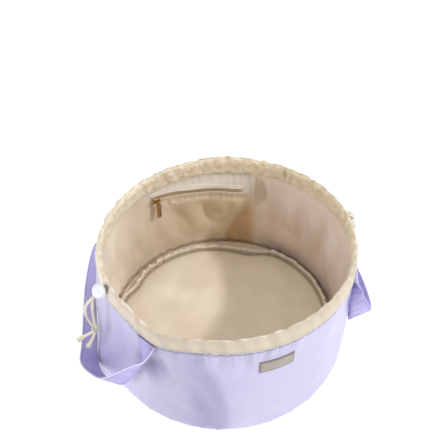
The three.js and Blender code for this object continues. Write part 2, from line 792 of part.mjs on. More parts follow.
function flap() {
  const half = flapWidth / 2 - flapBindingWidth / 2 - seamGap;
  const rows = [];
  const steps = 15;
  for (let i = 0; i < steps; i += 1) {
    const across = -half * Math.cos((Math.PI * (i + 0.5)) / steps);
    const reach = flapStraight + Math.sqrt(half * half - across * across);
    const downs = [0, reach / 3, (reach * 2) / 3, reach];
    const near = downs.map((down) => flapPoint(across, down, 0));
    const far = downs.map((down) => flapPoint(across, down, flapThickness));
    rows.push([...near, ...far.reverse()]);
  }
  return gridSolid(rows, false);
}

function flapBinding() {
  const stations = [];
  const sideSteps = 4;
  const turnSteps = 14;
  for (let i = 0; i < sideSteps; i += 1) {
    stations.push({ turn: Math.PI, down: (flapStraight * i) / sideSteps });
  }
  for (let i = 0; i <= turnSteps; i += 1) {
    stations.push({ turn: Math.PI - (Math.PI * i) / turnSteps, down: flapStraight });
  }
  for (let i = sideSteps - 1; i >= 0; i -= 1) {
    stations.push({ turn: 0, down: (flapStraight * i) / sideSteps });
  }
  const outer = flapWidth / 2;
  const inner = outer - flapBindingWidth / 2;
  const top = flapThickness + flapBindingProud;
  const rows = stations.map(({ turn, down }) => {
    const corner = (radius, lift) => flapPoint(
      radius * Math.cos(turn), down + radius * Math.sin(turn), lift,
    );
    return [corner(inner, 0), corner(outer, 0), corner(outer, top), corner(inner, top)];
  });
  return gridSolid(rows, false);
}

addMesh('outer_base', outerBase(), lilac);
addMesh('outer_wall', outerWall(), lilac);
addMesh('lining_wall', liningWall(), beige);
addMesh('lining_floor', liningFloor(), beige);
addMesh('floor_binding', floorBinding(), beige);
addMesh('casing', casing(), cream);
addMesh('drawstring_left', drawstring(-1, 0), cotton);
addMesh('drawstring_right', drawstring(1, 1), cotton);
addMesh('strap_left', strap(-1, leftStrapRows), lilacDark);
addMesh('strap_right', strap(1, rightStrapRows), lilacDark);
for (const [name, route] of Object.entries(cordRoutes)) {
  addMesh(name, tubeAlong(route.map(vector), cordDiameter), cotton);
}
for (const [name, seat] of Object.entries(toggleSeats)) {
  const side = name.replace('toggle_', 'cord_');
  addMesh(name, toggle(seat, [cordRoutes[`${side}_a`], cordRoutes[`${side}_b`]]), white);
}
for (const [name, seat] of Object.entries(knotSeats)) {
  addMesh(name, knot(seat), cotton);
}
addMesh('zip_tape', zipStrip(zipTapeWidth, zipTapeThickness, 0, 0), beige);
addMesh('zip_coil', zipStrip(zipCoilWidth, zipCoilThickness, coilLift, 1), brass);
const slider = sliderFrame();
bag.add(slider);
addMesh('zip_slider', zipSlider(), brass, slider);
addMesh('zip_pull', zipPull(), brass, slider);
addMesh('label_patch', labelPatch(), taupe);
addMesh('flap', flap(), lilac);
addMesh('flap_binding', flapBinding(), cream);

export default bag;
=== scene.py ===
"""Looks of the drawstring cosmetic bag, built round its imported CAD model.

Shapes are worked out in millimetres in the bag's frame and become metres when a mesh is made.
Angles are degrees from +X, the front of the bag is at -90 and its back at 90.
"""

import math

import bpy
import numpy as np
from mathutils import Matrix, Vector


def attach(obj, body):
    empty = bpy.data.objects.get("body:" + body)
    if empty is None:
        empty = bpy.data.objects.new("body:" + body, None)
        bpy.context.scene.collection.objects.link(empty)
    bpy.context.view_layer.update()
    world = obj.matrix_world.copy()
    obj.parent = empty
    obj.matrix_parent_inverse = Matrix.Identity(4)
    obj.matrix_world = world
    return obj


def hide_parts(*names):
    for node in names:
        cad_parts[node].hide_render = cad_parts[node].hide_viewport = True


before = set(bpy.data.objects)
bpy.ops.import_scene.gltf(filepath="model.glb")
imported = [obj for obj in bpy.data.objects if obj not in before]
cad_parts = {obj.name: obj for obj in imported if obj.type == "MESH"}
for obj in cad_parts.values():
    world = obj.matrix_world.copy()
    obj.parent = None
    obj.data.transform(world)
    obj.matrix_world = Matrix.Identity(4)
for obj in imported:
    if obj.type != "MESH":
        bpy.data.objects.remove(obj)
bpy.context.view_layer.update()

MM = 0.001
BODY = "bag"
KNOT_SEED = 11

# Sizes shared with the CAD model, in millimetres
BASE_RADIUS = 134
MOUTH_RADIUS = 130
MOUTH_HEIGHT = 152
CASING_HEIGHT = 20
CASING_HALF = 3
CASING_PROUD = 0.8
OUTER_CLOTH = 1.2
LINING_CLOTH = 1.0
SEAM_GAP = 0.3
FLOOR_INSET = 8
LABEL_HALF_WIDTH = 18
LABEL_HALF_HEIGHT = 8.5
ZIP_START = 56
ZIP_END = 108
STRAP_WIDTH = 24
STRAP_THICKNESS = 2
STRAP_DROP = 100
CORD_DIAMETER = 3
EXIT_ANGLES = (-174, -6)
EXIT_HEIGHT = 14.2
# Millimetres round the bag to a degree
BASE_ARC = math.radians(BASE_RADIUS)
MOUTH_ARC = math.radians(MOUTH_RADIUS)

# Mouth: angle, share of MOUTH_RADIUS, share of MOUTH_HEIGHT
RIM_ROWS = np.array([
    (-175, 0.958, 1.005), (-157, 0.963, 1.02), (-141, 1.0, 1.01), (-122, 1.0, 1.05),
    (-90, 1.01, 1.07), (-60, 1.01, 1.05), (-38, 1.015, 1.01), (-5, 1.005, 1.005),
    (30, 0.99, 0.965), (60, 0.98, 0.94), (90, 0.975, 0.93), (120, 0.97, 0.935), (150, 0.962, 0.955),
])
# Dents and swells shared with the CAD model: angle, height, spread, reach, depth
FOLD_ROWS = [
    (-141, 0.74, 6, 0.13, -0.03), (-39, 0.74, 6, 0.13, -0.025), (-109, 0.42, 9, 0.45, 0.016),
    (-124, 0.45, 9, 0.4, -0.016), (-163, 0.5, 7, 0.45, -0.022), (-175, 0.4, 7, 0.4, 0.014),
    (-72, 0.5, 14, 0.4, -0.01), (-12, 0.5, 10, 0.4, -0.014), (22, 0.45, 9, 0.35, 0.01),
    (48, 0.5, 9, 0.4, -0.012), (118, 0.45, 9, 0.4, -0.014), (146, 0.5, 8, 0.35, 0.01),
]
# Outline of the seam round the floor: angle, share of BASE_RADIUS
FLOOR_SEAM_ROWS = np.array([
    (-178, 0.89), (-150, 0.905), (-110, 0.89), (-65, 0.9), (-20, 0.895), (12, 0.912), (36, 0.9),
    (50, 0.83), (64, 0.836), (80, 0.856), (95, 0.871), (110, 0.878), (121, 0.875), (130, 0.856),
    (140, 0.893), (154, 0.903), (167, 0.883),
])
# Straps, front end to back end: outAway, outStand, outDrop, inAway, inStand, inDrop
STRAP_ROWS = {
    -1: np.array([
        (39.5, 0, 0.01, 29.5, 0, 0.01), (37, 0.58, 0.13, 33, 0.15, 0.29),
        (29.5, 0.65, 0.38, 29.5, 0.24, 0.58), (22.7, 0.95, 0.62, 26, 0.36, 0.8),
        (17.2, 1.35, 0.78, 21.5, 0.65, 0.92), (11.5, 1.42, 0.83, 14.5, 0.75, 0.99),
        (5.5, 1.4, 0.84, 7, 0.6, 1), (0, 1.14, 0.8, 0, 0.38, 0.93), (-6, 0.93, 0.7, -6, 0.24, 0.81),
        (-12, 0.76, 0.54, -12, 0.18, 0.68), (-23, 0.54, 0.29, -20, 0.12, 0.44),
        (-32, 0.36, 0.12, -26, 0.1, 0.26), (-39.5, 0, 0.01, -29.5, 0, 0.01),
    ]),
    1: np.array([
        (39.5, 0, 0.01, 29.5, 0, 0.01), (38, 0.45, 0.18, 33.5, 0.08, 0.3),
        (34, 0.72, 0.42, 34.5, 0.12, 0.56), (30.5, 0.98, 0.66, 33, 0.16, 0.79),
        (26, 1.1, 0.83, 29, 0.2, 0.95), (18, 1.14, 0.88, 20, 0.22, 1), (6, 1.12, 0.88, 7, 0.22, 1),
        (-6, 1.02, 0.84, -6, 0.18, 0.95), (-17, 0.88, 0.72, -18, 0.14, 0.84),
        (-26, 0.62, 0.5, -25, 0.1, 0.64), (-33, 0.36, 0.27, -29, 0.08, 0.42),
        (-37.5, 0.16, 0.12, -31.5, 0.05, 0.22), (-39.5, 0, 0.01, -29.5, 0, 0.01),
    ]),
}
CORD_ROUTES = {
    "cord_left_a": [
        (-126.7, -15.2, 143.8), (-128.8, -15.6, 145.2), (-131.2, -16, 146.6), (-134.6, -16.4, 147.2),
        (-138.6, -16.6, 146.4), (-142.6, -16.2, 143.6), (-146.4, -15.2, 139), (-149, -13.6, 132.6),
        (-150.4, -12, 124.6), (-150.2, -11, 115), (-148.8, -10.8, 106), (-145.8, -12, 96),
    ],
    "cord_left_b": [
        (-127.1, -11.4, 143.8), (-129.2, -11.7, 145.2), (-131.6, -12.2, 146.6), (-134.8, -12.6, 146.8),
        (-138, -13, 145.4), (-140.8, -13.6, 142), (-142.4, -14.2, 136), (-143.4, -14.8, 128),
        (-144, -15.4, 119), (-144.2, -15.8, 110), (-143.6, -14.8, 96),
    ],
    "cord_right_a": [
        (133, -15.9, 147.2), (135.2, -16.3, 147.2), (137.5, -16.9, 145.6), (139, -17.6, 142.6),
        (139.7, -18.2, 138.5), (140, -18.8, 133), (140.4, -19, 126), (141.2, -19, 117),
        (142.2, -18.6, 107.5), (143, -16.9, 96.9),
    ],
    "cord_right_b": [
        (133.4, -12.1, 147.2), (135.8, -12.5, 147.2), (138.2, -13.2, 145.6), (139.7, -14, 142.6),
        (140.3, -14.6, 138.5), (140.7, -14.6, 133), (141.7, -14, 126), (143.4, -13, 117),
        (144.8, -12.6, 107.5), (144.9, -14, 96.9),
    ],
}
TOGGLE_SEATS = {
    "left": ((-134.2, -14.7, 150), (0.1, -0.25, -1)),
    "right": ((140.2, -16.5, 136.4), (0.05, -1, 0.1)),
}
KNOT_SEATS = {
    "left": ((-144.6, -13.3, 90.5), [
        [(-145, -12.4, 88.6), (-150.4, -10, 82.6), (-155.6, -7, 77), (-160.6, -4.4, 71)],
        [(-145, -14, 88.4), (-148.4, -14.2, 80), (-151.4, -13, 72.4), (-153.6, -11, 65)],
    ]),
    "right": ((144, -15.4, 91.4), [
        [(144.4, -14.4, 89.6), (147, -11.8, 81), (149.2, -9.6, 73), (150.8, -8, 66)],
        [(144.4, -16.2, 89.6), (145.6, -18.6, 81), (146.4, -21, 73), (146.8, -23.4, 67)],
    ]),
}

# Colours, linear
LILAC = (0.49, 0.47, 0.665)
# The straps are the wall's nylon; their lilac is LILAC darkened and made bluer as painted shade.
STRAP_LILAC_SHADED = (0.42, 0.38, 0.70)
BEIGE = (0.80, 0.69, 0.56)
CREAM = (0.78, 0.68, 0.52)
COTTON = (0.79, 0.735, 0.60)
WHITE = (0.80, 0.83, 0.86)
BRASS = (0.42, 0.25, 0.09)
TAUPE = (0.35, 0.31, 0.265)


# ---------------------------------------------------------------- shape functions
def hermite(before, here, after, later, share):
    """The smooth curve between here and after, at a share of the way."""
    square = share * share
    cube = square * share
    return ((2 * cube - 3 * square + 1) * here + (cube - 2 * square + share) * (after - before) / 2
            + (3 * square - 2 * cube) * after + (cube - square) * (later - here) / 2)


def closed_curve(rows, column, angle):
    """A smooth closed curve through a table's rows, read at any angle."""
    starts = rows[:, 0] - rows[0, 0]
    values = rows[:, column]
    count = len(rows)
    turn = np.mod(np.asarray(angle, float) - rows[0, 0], 360)
    index = np.searchsorted(starts, turn, side="right") - 1
    ends = np.append(starts[1:], 360)
    share = (turn - starts[index]) / (ends[index] - starts[index])
    before, here, after, later = (values[(index + step) % count] for step in (-1, 0, 1, 2))
    return hermite(before, here, after, later, share)


def rim_radius(angle):
    return MOUTH_RADIUS * closed_curve(RIM_ROWS, 1, angle)


def rim_height(angle):
    return MOUTH_HEIGHT * closed_curve(RIM_ROWS, 2, angle)


def seam_height(angle):
    return rim_height(angle) - CASING_HEIGHT


def away(angle, middle):
    """Signed angle from middle, from -180 to 180."""
    return np.mod(angle - middle + 180, 360) - 180


def wall_radius(angle, height):
    share = height / seam_height(angle)
    top = rim_radius(angle) + CASING_HALF - CASING_PROUD
    tuck = np.maximum(0, 1 - share / 0.06)
    radius = BASE_RADIUS + (top - BASE_RADIUS) * share - BASE_RADIUS * 0.02 * tuck * tuck
    fade = np.clip(np.minimum(share, 1 - share) / 0.18, 0, 1)
    for middle, level, spread, reach, depth in FOLD_ROWS:
        turn = away(angle, middle) / spread
        rise = (share - level) / reach
        radius = radius + BASE_RADIUS * depth * np.exp(-turn * turn - rise * rise) * fade
    return radius


def pocket_share(angle, height):
    turn = (angle - 82) / (52 * 0.45)
    rise = (height - (seam_height(90) - 23)) / 28
    top = np.clip((seam_height(angle) - height) / 14, 0, 1)
    return np.exp(-turn * turn - rise * rise) * top


def lining_radius(angle, height):
    straight = wall_radius(angle, height) - OUTER_CLOTH - SEAM_GAP - LINING_CLOTH
    share = np.minimum(1, height / (seam_height(angle) * 0.3))
    draw = (1 - share) ** 2
    foot = BASE_RADIUS - FLOOR_INSET + SEAM_GAP
    return straight + (foot - straight) * draw - 8.5 * pocket_share(angle, height)


def ripple(angle, low, high, seed):
    """A smooth closed random curve round the bag, mostly within -1 to 1, of low to high waves."""
    rng = np.random.default_rng(seed)
    turn = np.radians(angle)
    total = np.zeros(np.shape(turn))
    for waves in range(low, high + 1):
        total = total + rng.normal() * np.cos(waves * turn + rng.uniform(0, 2 * math.pi))
    return total / math.sqrt(high - low + 1)


def drift(across, along, size, count, seed):
    """Smooth random swells over a flat field, mostly within -1 to 1, about size millimetres wide."""
    rng = np.random.default_rng(seed)
    total = np.zeros(np.broadcast(across, along).shape)
    for _ in range(count):
        way = rng.uniform(0, math.pi)
        wave = 2 * math.pi / (size * rng.uniform(0.7, 1.6))
        phase = rng.uniform(0, 2 * math.pi)
        total = total + np.cos(wave * (across * math.cos(way) + along * math.sin(way)) + phase)
    return total / math.sqrt(count)


def crease(angle, height, row):
    """How far a crease along a straight line moves the cloth: a valley with a puff on each side."""
    from_angle, from_height, to_angle, to_height, width, depth = row
    middle = (from_angle + to_angle) / 2
    x = away(angle, middle) * BASE_ARC
    start = np.array([(from_angle - middle) * BASE_ARC, from_height])
    way = np.array([(to_angle - from_angle) * BASE_ARC, to_height - from_height])
    length = math.hypot(*way)
    along = ((x - start[0]) * way[0] + (height - start[1]) * way[1]) / length
    off = ((x - start[0]) * way[1] - (height - start[1]) * way[0]) / length
    ends = np.clip(along / (0.3 * length), 0, 1) * np.clip((length - along) / (0.3 * length), 0, 1)
    ends = ends * ends * (3 - 2 * ends)
    near = np.abs(off) / width
    return depth * ends * (-np.exp(-near * near) + 0.55 * np.exp(-((near - 1.9) / 1.1) ** 2))


def smoothstep(value):
    value = np.clip(value, 0, 1)
    return value * value * (3 - 2 * value)


def rising(value, start, width):
    """0 up to start, and 1 from start + width on."""
    return smoothstep((value - start) / width)


def falling(value, end, width):
    """1 up to end - width, and 0 from end on."""
    return smoothstep((end - value) / width)


def between(value, start, rise, end, fall):
    return rising(value, start, rise) * falling(value, end, fall)


def around(angle, middle, half, soft):
    """1 near the middle angle, and 0 from half degrees away on."""
    return falling(np.abs(away(angle, middle)), half, soft)


def bell(value, middle, width):
    return np.exp(-((value - middle) / width) ** 2)


def dashes(angle, radius, pitch):
    """1 on the stitches of a row round the bag, and 0 between them."""
    return 0.5 + 0.5 * np.tanh(3 * np.sin(np.radians(angle) * radius * 2 * math.pi / pitch))


def polar(angle, radius, height):
    turn = np.radians(angle)
    return np.stack(np.broadcast_arrays(radius * np.cos(turn), radius * np.sin(turn), height), axis=-1)


def travelled(points):
    """How far along a polyline each of its points lies."""
    return np.concatenate([[0], np.cumsum(np.linalg.norm(np.diff(points, axis=0), axis=1))])


# ---------------------------------------------------------------- mesh making
TUBE_MAP = 1.5


def put(name, verts, faces, material, slot=None, body=BODY, uv=None, tint=None, replaces=()):
    """A named mesh from millimetre points, riding on a body."""
    mesh = bpy.data.meshes.new(name)
    verts = np.asarray(verts, float).reshape(-1, 3) * MM
    mesh.from_pydata(verts.tolist(), [], [list(map(int, f)) for f in faces])
    mesh.polygons.foreach_set("use_smooth", [True] * len(mesh.polygons))
    if uv is not None:
        layer = mesh.uv_layers.new(name="cloth")
        index = np.empty(len(mesh.loops), np.int32)
        mesh.loops.foreach_get("vertex_index", index)
        layer.data.foreach_set("uv", np.asarray(uv, np.float32).reshape(-1, 2)[index].ravel())
    colour = mesh.attributes.new("tint", "FLOAT_COLOR", "POINT")
    values = np.ones((len(verts), 4), np.float32)
    if tint is not None:
        values[:, :3] = np.asarray(tint, np.float32).reshape(len(verts), -1)
    colour.data.foreach_set("color", values.ravel())
    mesh.update()
    piece = bpy.data.objects.new(name, mesh)
    bpy.context.scene.collection.objects.link(piece)
    mesh.materials.append(material)
    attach(piece, body)
    if replaces:
        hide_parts(*replaces)
    return piece


def dye_and_shade(tint, mask, *gain):
    """Raise or lower a tint where mask is 1, by one gain or by three for red, green and blue. Most marks made with it
    are painted light and shade, a few the cloth's own colour.
    """
    tint *= 1 + mask[..., None] * np.array(gain)


def grid_faces(rows, columns, wrap_rows=False, wrap_columns=False):
    """Quads of a grid whose point (row, column) is number row * columns + column."""
    row = np.arange(rows if wrap_rows else rows - 1)
    column = np.arange(columns if wrap_columns else columns - 1)
    row, column = np.meshgrid(row, column, indexing="ij")
    next_row = (row + 1) % rows
    next_column = (column + 1) % columns
    quads = np.stack([row * columns + column, row * columns + next_column,
                      next_row * columns + next_column, next_row * columns + column], axis=-1)
    return quads.reshape(-1, 4).tolist()


def grid_uv(rows, columns):
    return np.stack(np.meshgrid(rows, columns, indexing="ij"), axis=-1)


def sleeve_faces(rings, sides):
    """Faces of a sleeve of rings with its two ends closed."""
    ends = [list(range(sides))[::-1], [(rings - 1) * sides + i for i in range(sides)]]
    return grid_faces(rings, sides, wrap_columns=True) + ends


class Pile:
    """Many small closed shapes gathered into one mesh."""

    def __init__(self):
        self.verts = []
        self.faces = []
        self.uv = []
        self.count = 0

    def add(self, verts, faces, uv=None):
        verts = np.asarray(verts, float).reshape(-1, 3)
        self.verts.append(verts)
        self.faces.extend([[v + self.count for v in face] for face in faces])
        self.uv.append(np.zeros((len(verts), 2)) if uv is None else np.asarray(uv, float).reshape(-1, 2))
        self.count += len(verts)

    def put(self, name, material, **options):
        return put(name, np.concatenate(self.verts), self.faces, material, uv=np.concatenate(self.uv), **options)


def spline(points, per_span=10):
    """A centripetal curve through points, evenly refined."""
    points = np.asarray(points, float)
    padded = np.vstack([2 * points[0] - points[1], points, 2 * points[-1] - points[-2]])
    knots = np.concatenate([[0], np.cumsum(np.sqrt(np.linalg.norm(np.diff(padded, axis=0), axis=1)))])
    out = []
    for i in range(1, len(padded) - 2):
        t0, t1, t2, t3 = knots[i - 1:i + 3]
        p0, p1, p2, p3 = padded[i - 1:i + 3]
        for t in np.linspace(t1, t2, per_span, endpoint=False):
            a1 = (t1 - t) / (t1 - t0) * p0 + (t - t0) / (t1 - t0) * p1
            a2 = (t2 - t) / (t2 - t1) * p1 + (t - t1) / (t2 - t1) * p2
            a3 = (t3 - t) / (t3 - t2) * p2 + (t - t2) / (t3 - t2) * p3
            b1 = (t2 - t) / (t2 - t0) * a1 + (t - t0) / (t2 - t0) * a2
            b2 = (t3 - t) / (t3 - t1) * a2 + (t - t1) / (t3 - t1) * a3
            out.append((t2 - t) / (t2 - t1) * b1 + (t - t1) / (t2 - t1) * b2)
    out.append(points[-1])
    return np.array(out)


def even(points, step):
    """Points at equal spacing along a polyline, and how far along it they lie."""
    lengths = travelled(points)
    count = max(2, int(round(lengths[-1] / step)) + 1)
    places = np.linspace(0, lengths[-1], count)
    return np.stack([np.interp(places, lengths, points[:, k]) for k in range(3)], axis=1), places


def carried_frames(points):
    """Two directions across a path at each point, without twist."""
    tangent = np.gradient(points, axis=0)
    tangent /= np.linalg.norm(tangent, axis=1)[:, None]
    side = np.cross(tangent[0], (0.3, 0.9, 0.2))
    sides = []
    for t in tangent:
        side = side - t * (side @ t)
        side = side / np.linalg.norm(side)
        sides.append(side)
    sides = np.array(sides)
    return sides, np.cross(tangent, sides)


def tube(points, radius, sides=12, lobes=0, pitch=6.0, depth=0.14, step=0.6):
    """A closed tube along a path, with its cloth map. lobes give it the look of twisted strands."""
    line, places = even(np.asarray(points, float), step)
    across, up = carried_frames(line)
    phi = np.linspace(0, 2 * math.pi, sides, endpoint=False)
    rho = np.ones((len(line), sides)) * np.asarray(radius, float).reshape(-1, 1)
    if lobes:
        phase = lobes * (phi[None, :] - 2 * math.pi * places[:, None] / pitch) / 2
        rho = rho * (1 - depth + depth * np.abs(np.cos(phase)) ** 0.6)
    verts = (line[:, None, :] + across[:, None, :] * (rho * np.cos(phi))[..., None]
             + up[:, None, :] * (rho * np.sin(phi))[..., None])
    uv = np.stack(np.broadcast_arrays(places[:, None], phi[None, :] * TUBE_MAP), axis=-1)
    return verts.reshape(-1, 3), sleeve_faces(len(line), sides), uv.reshape(-1, 2)


def stitches(pile, points, normals, spacing=3.2, length=2.1, radius=0.28, lift=0.15):
    """A row of stitches along a path that lies on cloth."""
    line, places = even(points, spacing)
    lengths = travelled(points)
    normal = np.stack([np.interp(places, lengths, normals[:, k]) for k in range(3)], axis=1)
    normal /= np.linalg.norm(normal, axis=1)[:, None]
    way = np.gradient(line, axis=0)
    way /= np.linalg.norm(way, axis=1)[:, None]
    side = np.cross(way, normal)
    phi = np.linspace(0, 2 * math.pi, 6, endpoint=False)[:, None]
    for p, n, w, s in zip(line, normal, way, side):
        rings = []
        for along, size, sink in ((-0.5, 0.35, 0.6), (-0.3, 1, 0), (0.3, 1, 0), (0.5, 0.35, 0.6)):
            centre = p + w * along * length + n * (lift - sink * radius)
            rings.append(centre + (s * np.cos(phi) + n * np.sin(phi)) * radius * size)
        pile.add(np.concatenate(rings), sleeve_faces(4, 6))


# ---------------------------------------------------------------- materials
def fill(node, values):
    for name, value in values.items():
        node.inputs[name].default_value = value


def material(name, colour, roughness, metallic=0.0, sheen=0.0, specular=0.5, weave=0.0, weave_size=0.5,
             grain=0.0, shade=0.06, coat=0.0, tinted=True):
    """A procedural material. weave is a cloth bump read from the cloth map, which is in millimetres,
    grain a fine bump in object space, and shade how much the colour wanders."""
    made = bpy.data.materials.new(name)
    made.use_nodes = True
    nodes, links = made.node_tree.nodes, made.node_tree.links
    shader = nodes["Principled BSDF"]
    fill(shader, {"Roughness": roughness, "Metallic": metallic, "Specular IOR Level": specular,
                  "Sheen Weight": sheen, "Sheen Roughness": 0.4, "Coat Weight": coat, "Coat Roughness": 0.15})

    def add(kind, **values):
        node = nodes.new("ShaderNode" + kind)
        fill(node, values)
        return node

    place = add("TexCoord")
    cloud = add("TexNoise", Scale=26, Detail=3)
    links.new(place.outputs["Object"], cloud.inputs["Vector"])
    ramp = add("ValToRGB")
    for element, position, gain in zip(ramp.color_ramp.elements, (0.3, 0.7), (1 - shade, 1 + shade * 0.6)):
        element.position = position
        element.color = (*(min(1, c * gain) for c in colour), 1)
    links.new(cloud.outputs["Fac"], ramp.inputs["Fac"])
    out = ramp.outputs["Color"]
    # The tint attribute multiplies the base colour; it carries painted light and shade as well as the cloth's own
    # colour marks.
    if tinted:
        tint = add("Attribute")
        tint.attribute_name = "tint"
        mix = add("Mix")
        mix.data_type = "RGBA"
        mix.blend_type = "MULTIPLY"
        mix.inputs["Factor"].default_value = 1
        links.new(out, mix.inputs[6])
        links.new(tint.outputs["Color"], mix.inputs[7])
        out = mix.outputs[2]
    links.new(out, shader.inputs["Base Color"])
    bumps = []
    if weave:
        cloth = add("UVMap")
        cloth.uv_map = "cloth"
        both = add("Math")
        both.operation = "MULTIPLY"
        for socket, direction in zip(both.inputs, ("X", "Y")):
            wave = add("TexWave", Scale=0.314 / weave_size, Distortion=0.4, Detail=1)
            wave.bands_direction = direction
            links.new(cloth.outputs["UV"], wave.inputs["Vector"])
            links.new(wave.outputs["Fac"], socket)
        bumps.append((both.outputs[0], weave, 0.0002))
    if grain:
        fine = add("TexNoise", Scale=900, Detail=4)
        links.new(place.outputs["Object"], fine.inputs["Vector"])
        bumps.append((fine.outputs["Fac"], grain, 0.0003))
    for height, strength, distance in bumps:
        bump = add("Bump", Strength=strength, Distance=distance)
        links.new(height, bump.inputs["Height"])
        for link in shader.inputs["Normal"].links:
            links.new(link.from_socket, bump.inputs["Normal"])
        links.new(bump.outputs["Normal"], shader.inputs["Normal"])
    return made


lilac = material("lilac_nylon", LILAC, 0.42, sheen=0.25, weave=0.25, weave_size=0.45, shade=0.03)
strap_lilac_shaded = material("strap_nylon", STRAP_LILAC_SHADED, 0.42, sheen=0.2, weave=0.35, weave_size=0.5, shade=0.05)
beige = material("lining_satin", BEIGE, 0.38, sheen=0.2, weave=0.2, weave_size=0.4, shade=0.04)
cream = material("casing_cotton", CREAM, 0.6, sheen=0.25, weave=0.4, weave_size=0.5, grain=0.1, shade=0.08)
cotton = material("cord_cotton", COTTON, 0.85, sheen=0.4, grain=0.5, shade=0.15)
thread = material("thread", (0.70, 0.62, 0.48), 0.7, sheen=0.2, grain=0.3, shade=0.1)
lilac_thread = material("lilac_thread", (0.50, 0.43, 0.78), 0.7, sheen=0.2, grain=0.3, shade=0.1)
plastic = material("stopper_plastic", WHITE, 0.28, specular=0.5, coat=0.3, grain=0.03, shade=0.05)
brass = material("zip_brass", BRASS, 0.32, metallic=0.9, grain=0.15, shade=0.2)
pale_brass = material("zip_teeth_brass", (0.64, 0.52, 0.34), 0.5, metallic=0.35, grain=0.1, shade=0.15)
taupe = material("label_weave", TAUPE, 0.75, sheen=0.2, weave=0.6, weave_size=0.7, grain=0.2, shade=0.12)
border = material("label_border", (0.27, 0.23, 0.20), 0.8, weave=0.5, weave_size=0.6, grain=0.2, shade=0.1)
inner_cotton = material("drawstring_cotton", COTTON, 0.85, sheen=0.4, grain=0.5, shade=0.15, tinted=False)

# ---------------------------------------------------------------- camera
camera_data = bpy.data.cameras.new("camera")
camera_data.sensor_fit = "HORIZONTAL"
camera_data.sensor_width = 36
camera_data.lens = 68.12
camera_data.shift_x = -0.0045
camera_data.shift_y = 0.1533
camera = bpy.data.objects.new("camera", camera_data)
bpy.context.scene.collection.objects.link(camera)
camera.location = (-0.212716, -0.513543, 0.777832)
camera.rotation_mode = "QUATERNION"
camera.rotation_quaternion = (Vector((0, 0, 0.07)) - Vector(camera.location)).to_track_quat("-Z", "Y")
bpy.context.scene.camera = camera

# ---------------------------------------------------------------- cords, stoppers and knots
STRANDS = 3
ROPE_PITCH = 6.5
KNOT_PITCH = 5.5


def turned(points, direction, centre):
    """Points with their +Z turned to a direction, about a centre."""
    turn = Vector((0, 0, 1)).rotation_difference(Vector(direction).normalized())
    return np.asarray(points, float) @ np.array(turn.to_matrix()).T + np.asarray(centre, float)


def lathe(profile, sides):
    """Verts and faces of a closed turned shape from (radius, height) rows, the first and last on the axis."""
    phi = np.linspace(0, 2 * math.pi, sides, endpoint=False)
    rings = np.array([[(r * math.cos(a), r * math.sin(a), z) for a in phi] for r, z in profile[1:-1]])
    verts = np.concatenate([rings.reshape(-1, 3), [(0, 0, profile[0][1]), (0, 0, profile[-1][1])]])
    count = len(profile) - 2
    faces = grid_faces(count, sides, wrap_columns=True)
    for i in range(sides):
        j = (i + 1) % sides
        faces.append([count * sides, j, i])
        faces.append([count * sides + 1, (count - 1) * sides + i, (count - 1) * sides + j])
    return verts, faces


def stopper(side):
    """An egg with a waist ring."""
    centre, lean = TOGGLE_SEATS[side]
    half_length, half_width, steps = 8.25, 6.5, 48
    profile = [(0, -half_length)]
    for i in range(1, steps):
        turn = math.pi * i / steps
        height = -math.cos(turn) * half_length
        radius = math.sin(turn) * (1 - 0.12 * math.cos(turn)) * half_width
        profile.append((radius - 0.22 * math.exp(-((height - 4.6) / 0.35) ** 2), height))
    profile.append((0, half_length))
    verts, faces = lathe(profile, 40)
    return put(f"stopper_{side}", turned(verts, lean, centre), faces, plastic, slot="stopper_plastic",
               replaces=[f"toggle_{side}"])


def strand_shade(uv, pitch):
    """Painted shade in the grooves between the strands of a tube whose map is uv, and faint painted light on their
    crowns.
    """
    twist = uv[:, 1] / TUBE_MAP - 2 * math.pi * uv[:, 0] / pitch
    strand = np.abs(np.cos(STRANDS * twist / 2)) ** 0.6
    return np.repeat((0.55 + 0.49 * strand)[:, None], 3, axis=1)


def knot_piece(side):
    """An overhand knot pulled tight, and two tails that fray at their ends."""
    centre, tails = KNOT_SEATS[side]
    pile = Pile()
    turn = np.linspace(0, 2 * math.pi, 60)
    loop = np.stack([np.sin(turn) + 2 * np.sin(2 * turn), 1.25 * np.sin(3 * turn),
                     np.cos(turn) - 2 * np.cos(2 * turn)], axis=1) * np.array([1.1, 1.05, 1.25])
    spin = math.radians(25 if side == "left" else -20)
    matrix = np.array([[math.cos(spin), -math.sin(spin), 0], [math.sin(spin), math.cos(spin), 0], [0, 0, 1]])
    pile.add(*tube(loop @ matrix.T + np.asarray(centre, float), 1.7, sides=18, lobes=STRANDS, pitch=KNOT_PITCH,
                   step=0.4, depth=0.24))
    rng = np.random.default_rng(KNOT_SEED + len(side))
    for tail in tails:
        line = spline(tail)
        places = np.linspace(0, 1, len(even(line, 0.5)[1]))
        radius = 1.6 + 0.95 * rising(places, 0.55, 0.35)
        pile.add(*tube(line, radius, sides=18, lobes=STRANDS, pitch=KNOT_PITCH, step=0.5, depth=0.26))
        end = line[-1]
        way = line[-1] - line[-6]
        way = way / np.linalg.norm(way)
        for _ in range(64):
            side_way = rng.normal(size=3)
            side_way -= way * (side_way @ way)
            side_way /= np.linalg.norm(side_way)
            reach = rng.uniform(0.3, 2.1)
            length = rng.uniform(2.5, 5)
            start = end - way * 1.2 + side_way * reach
            middle = start + way * length * 0.55 + side_way * rng.uniform(0, 0.6)
            tip = start + way * length + side_way * rng.uniform(0.2, 1.6) + rng.normal(size=3) * 0.4
            pile.add(*tube(spline([start, middle, tip], 4), 0.3, sides=5, step=0.7))
    return pile.put(f"tied_knot_{side}", cotton, slot="cord_cotton",
                    tint=strand_shade(np.concatenate(pile.uv), KNOT_PITCH), replaces=[f"knot_{side}"])


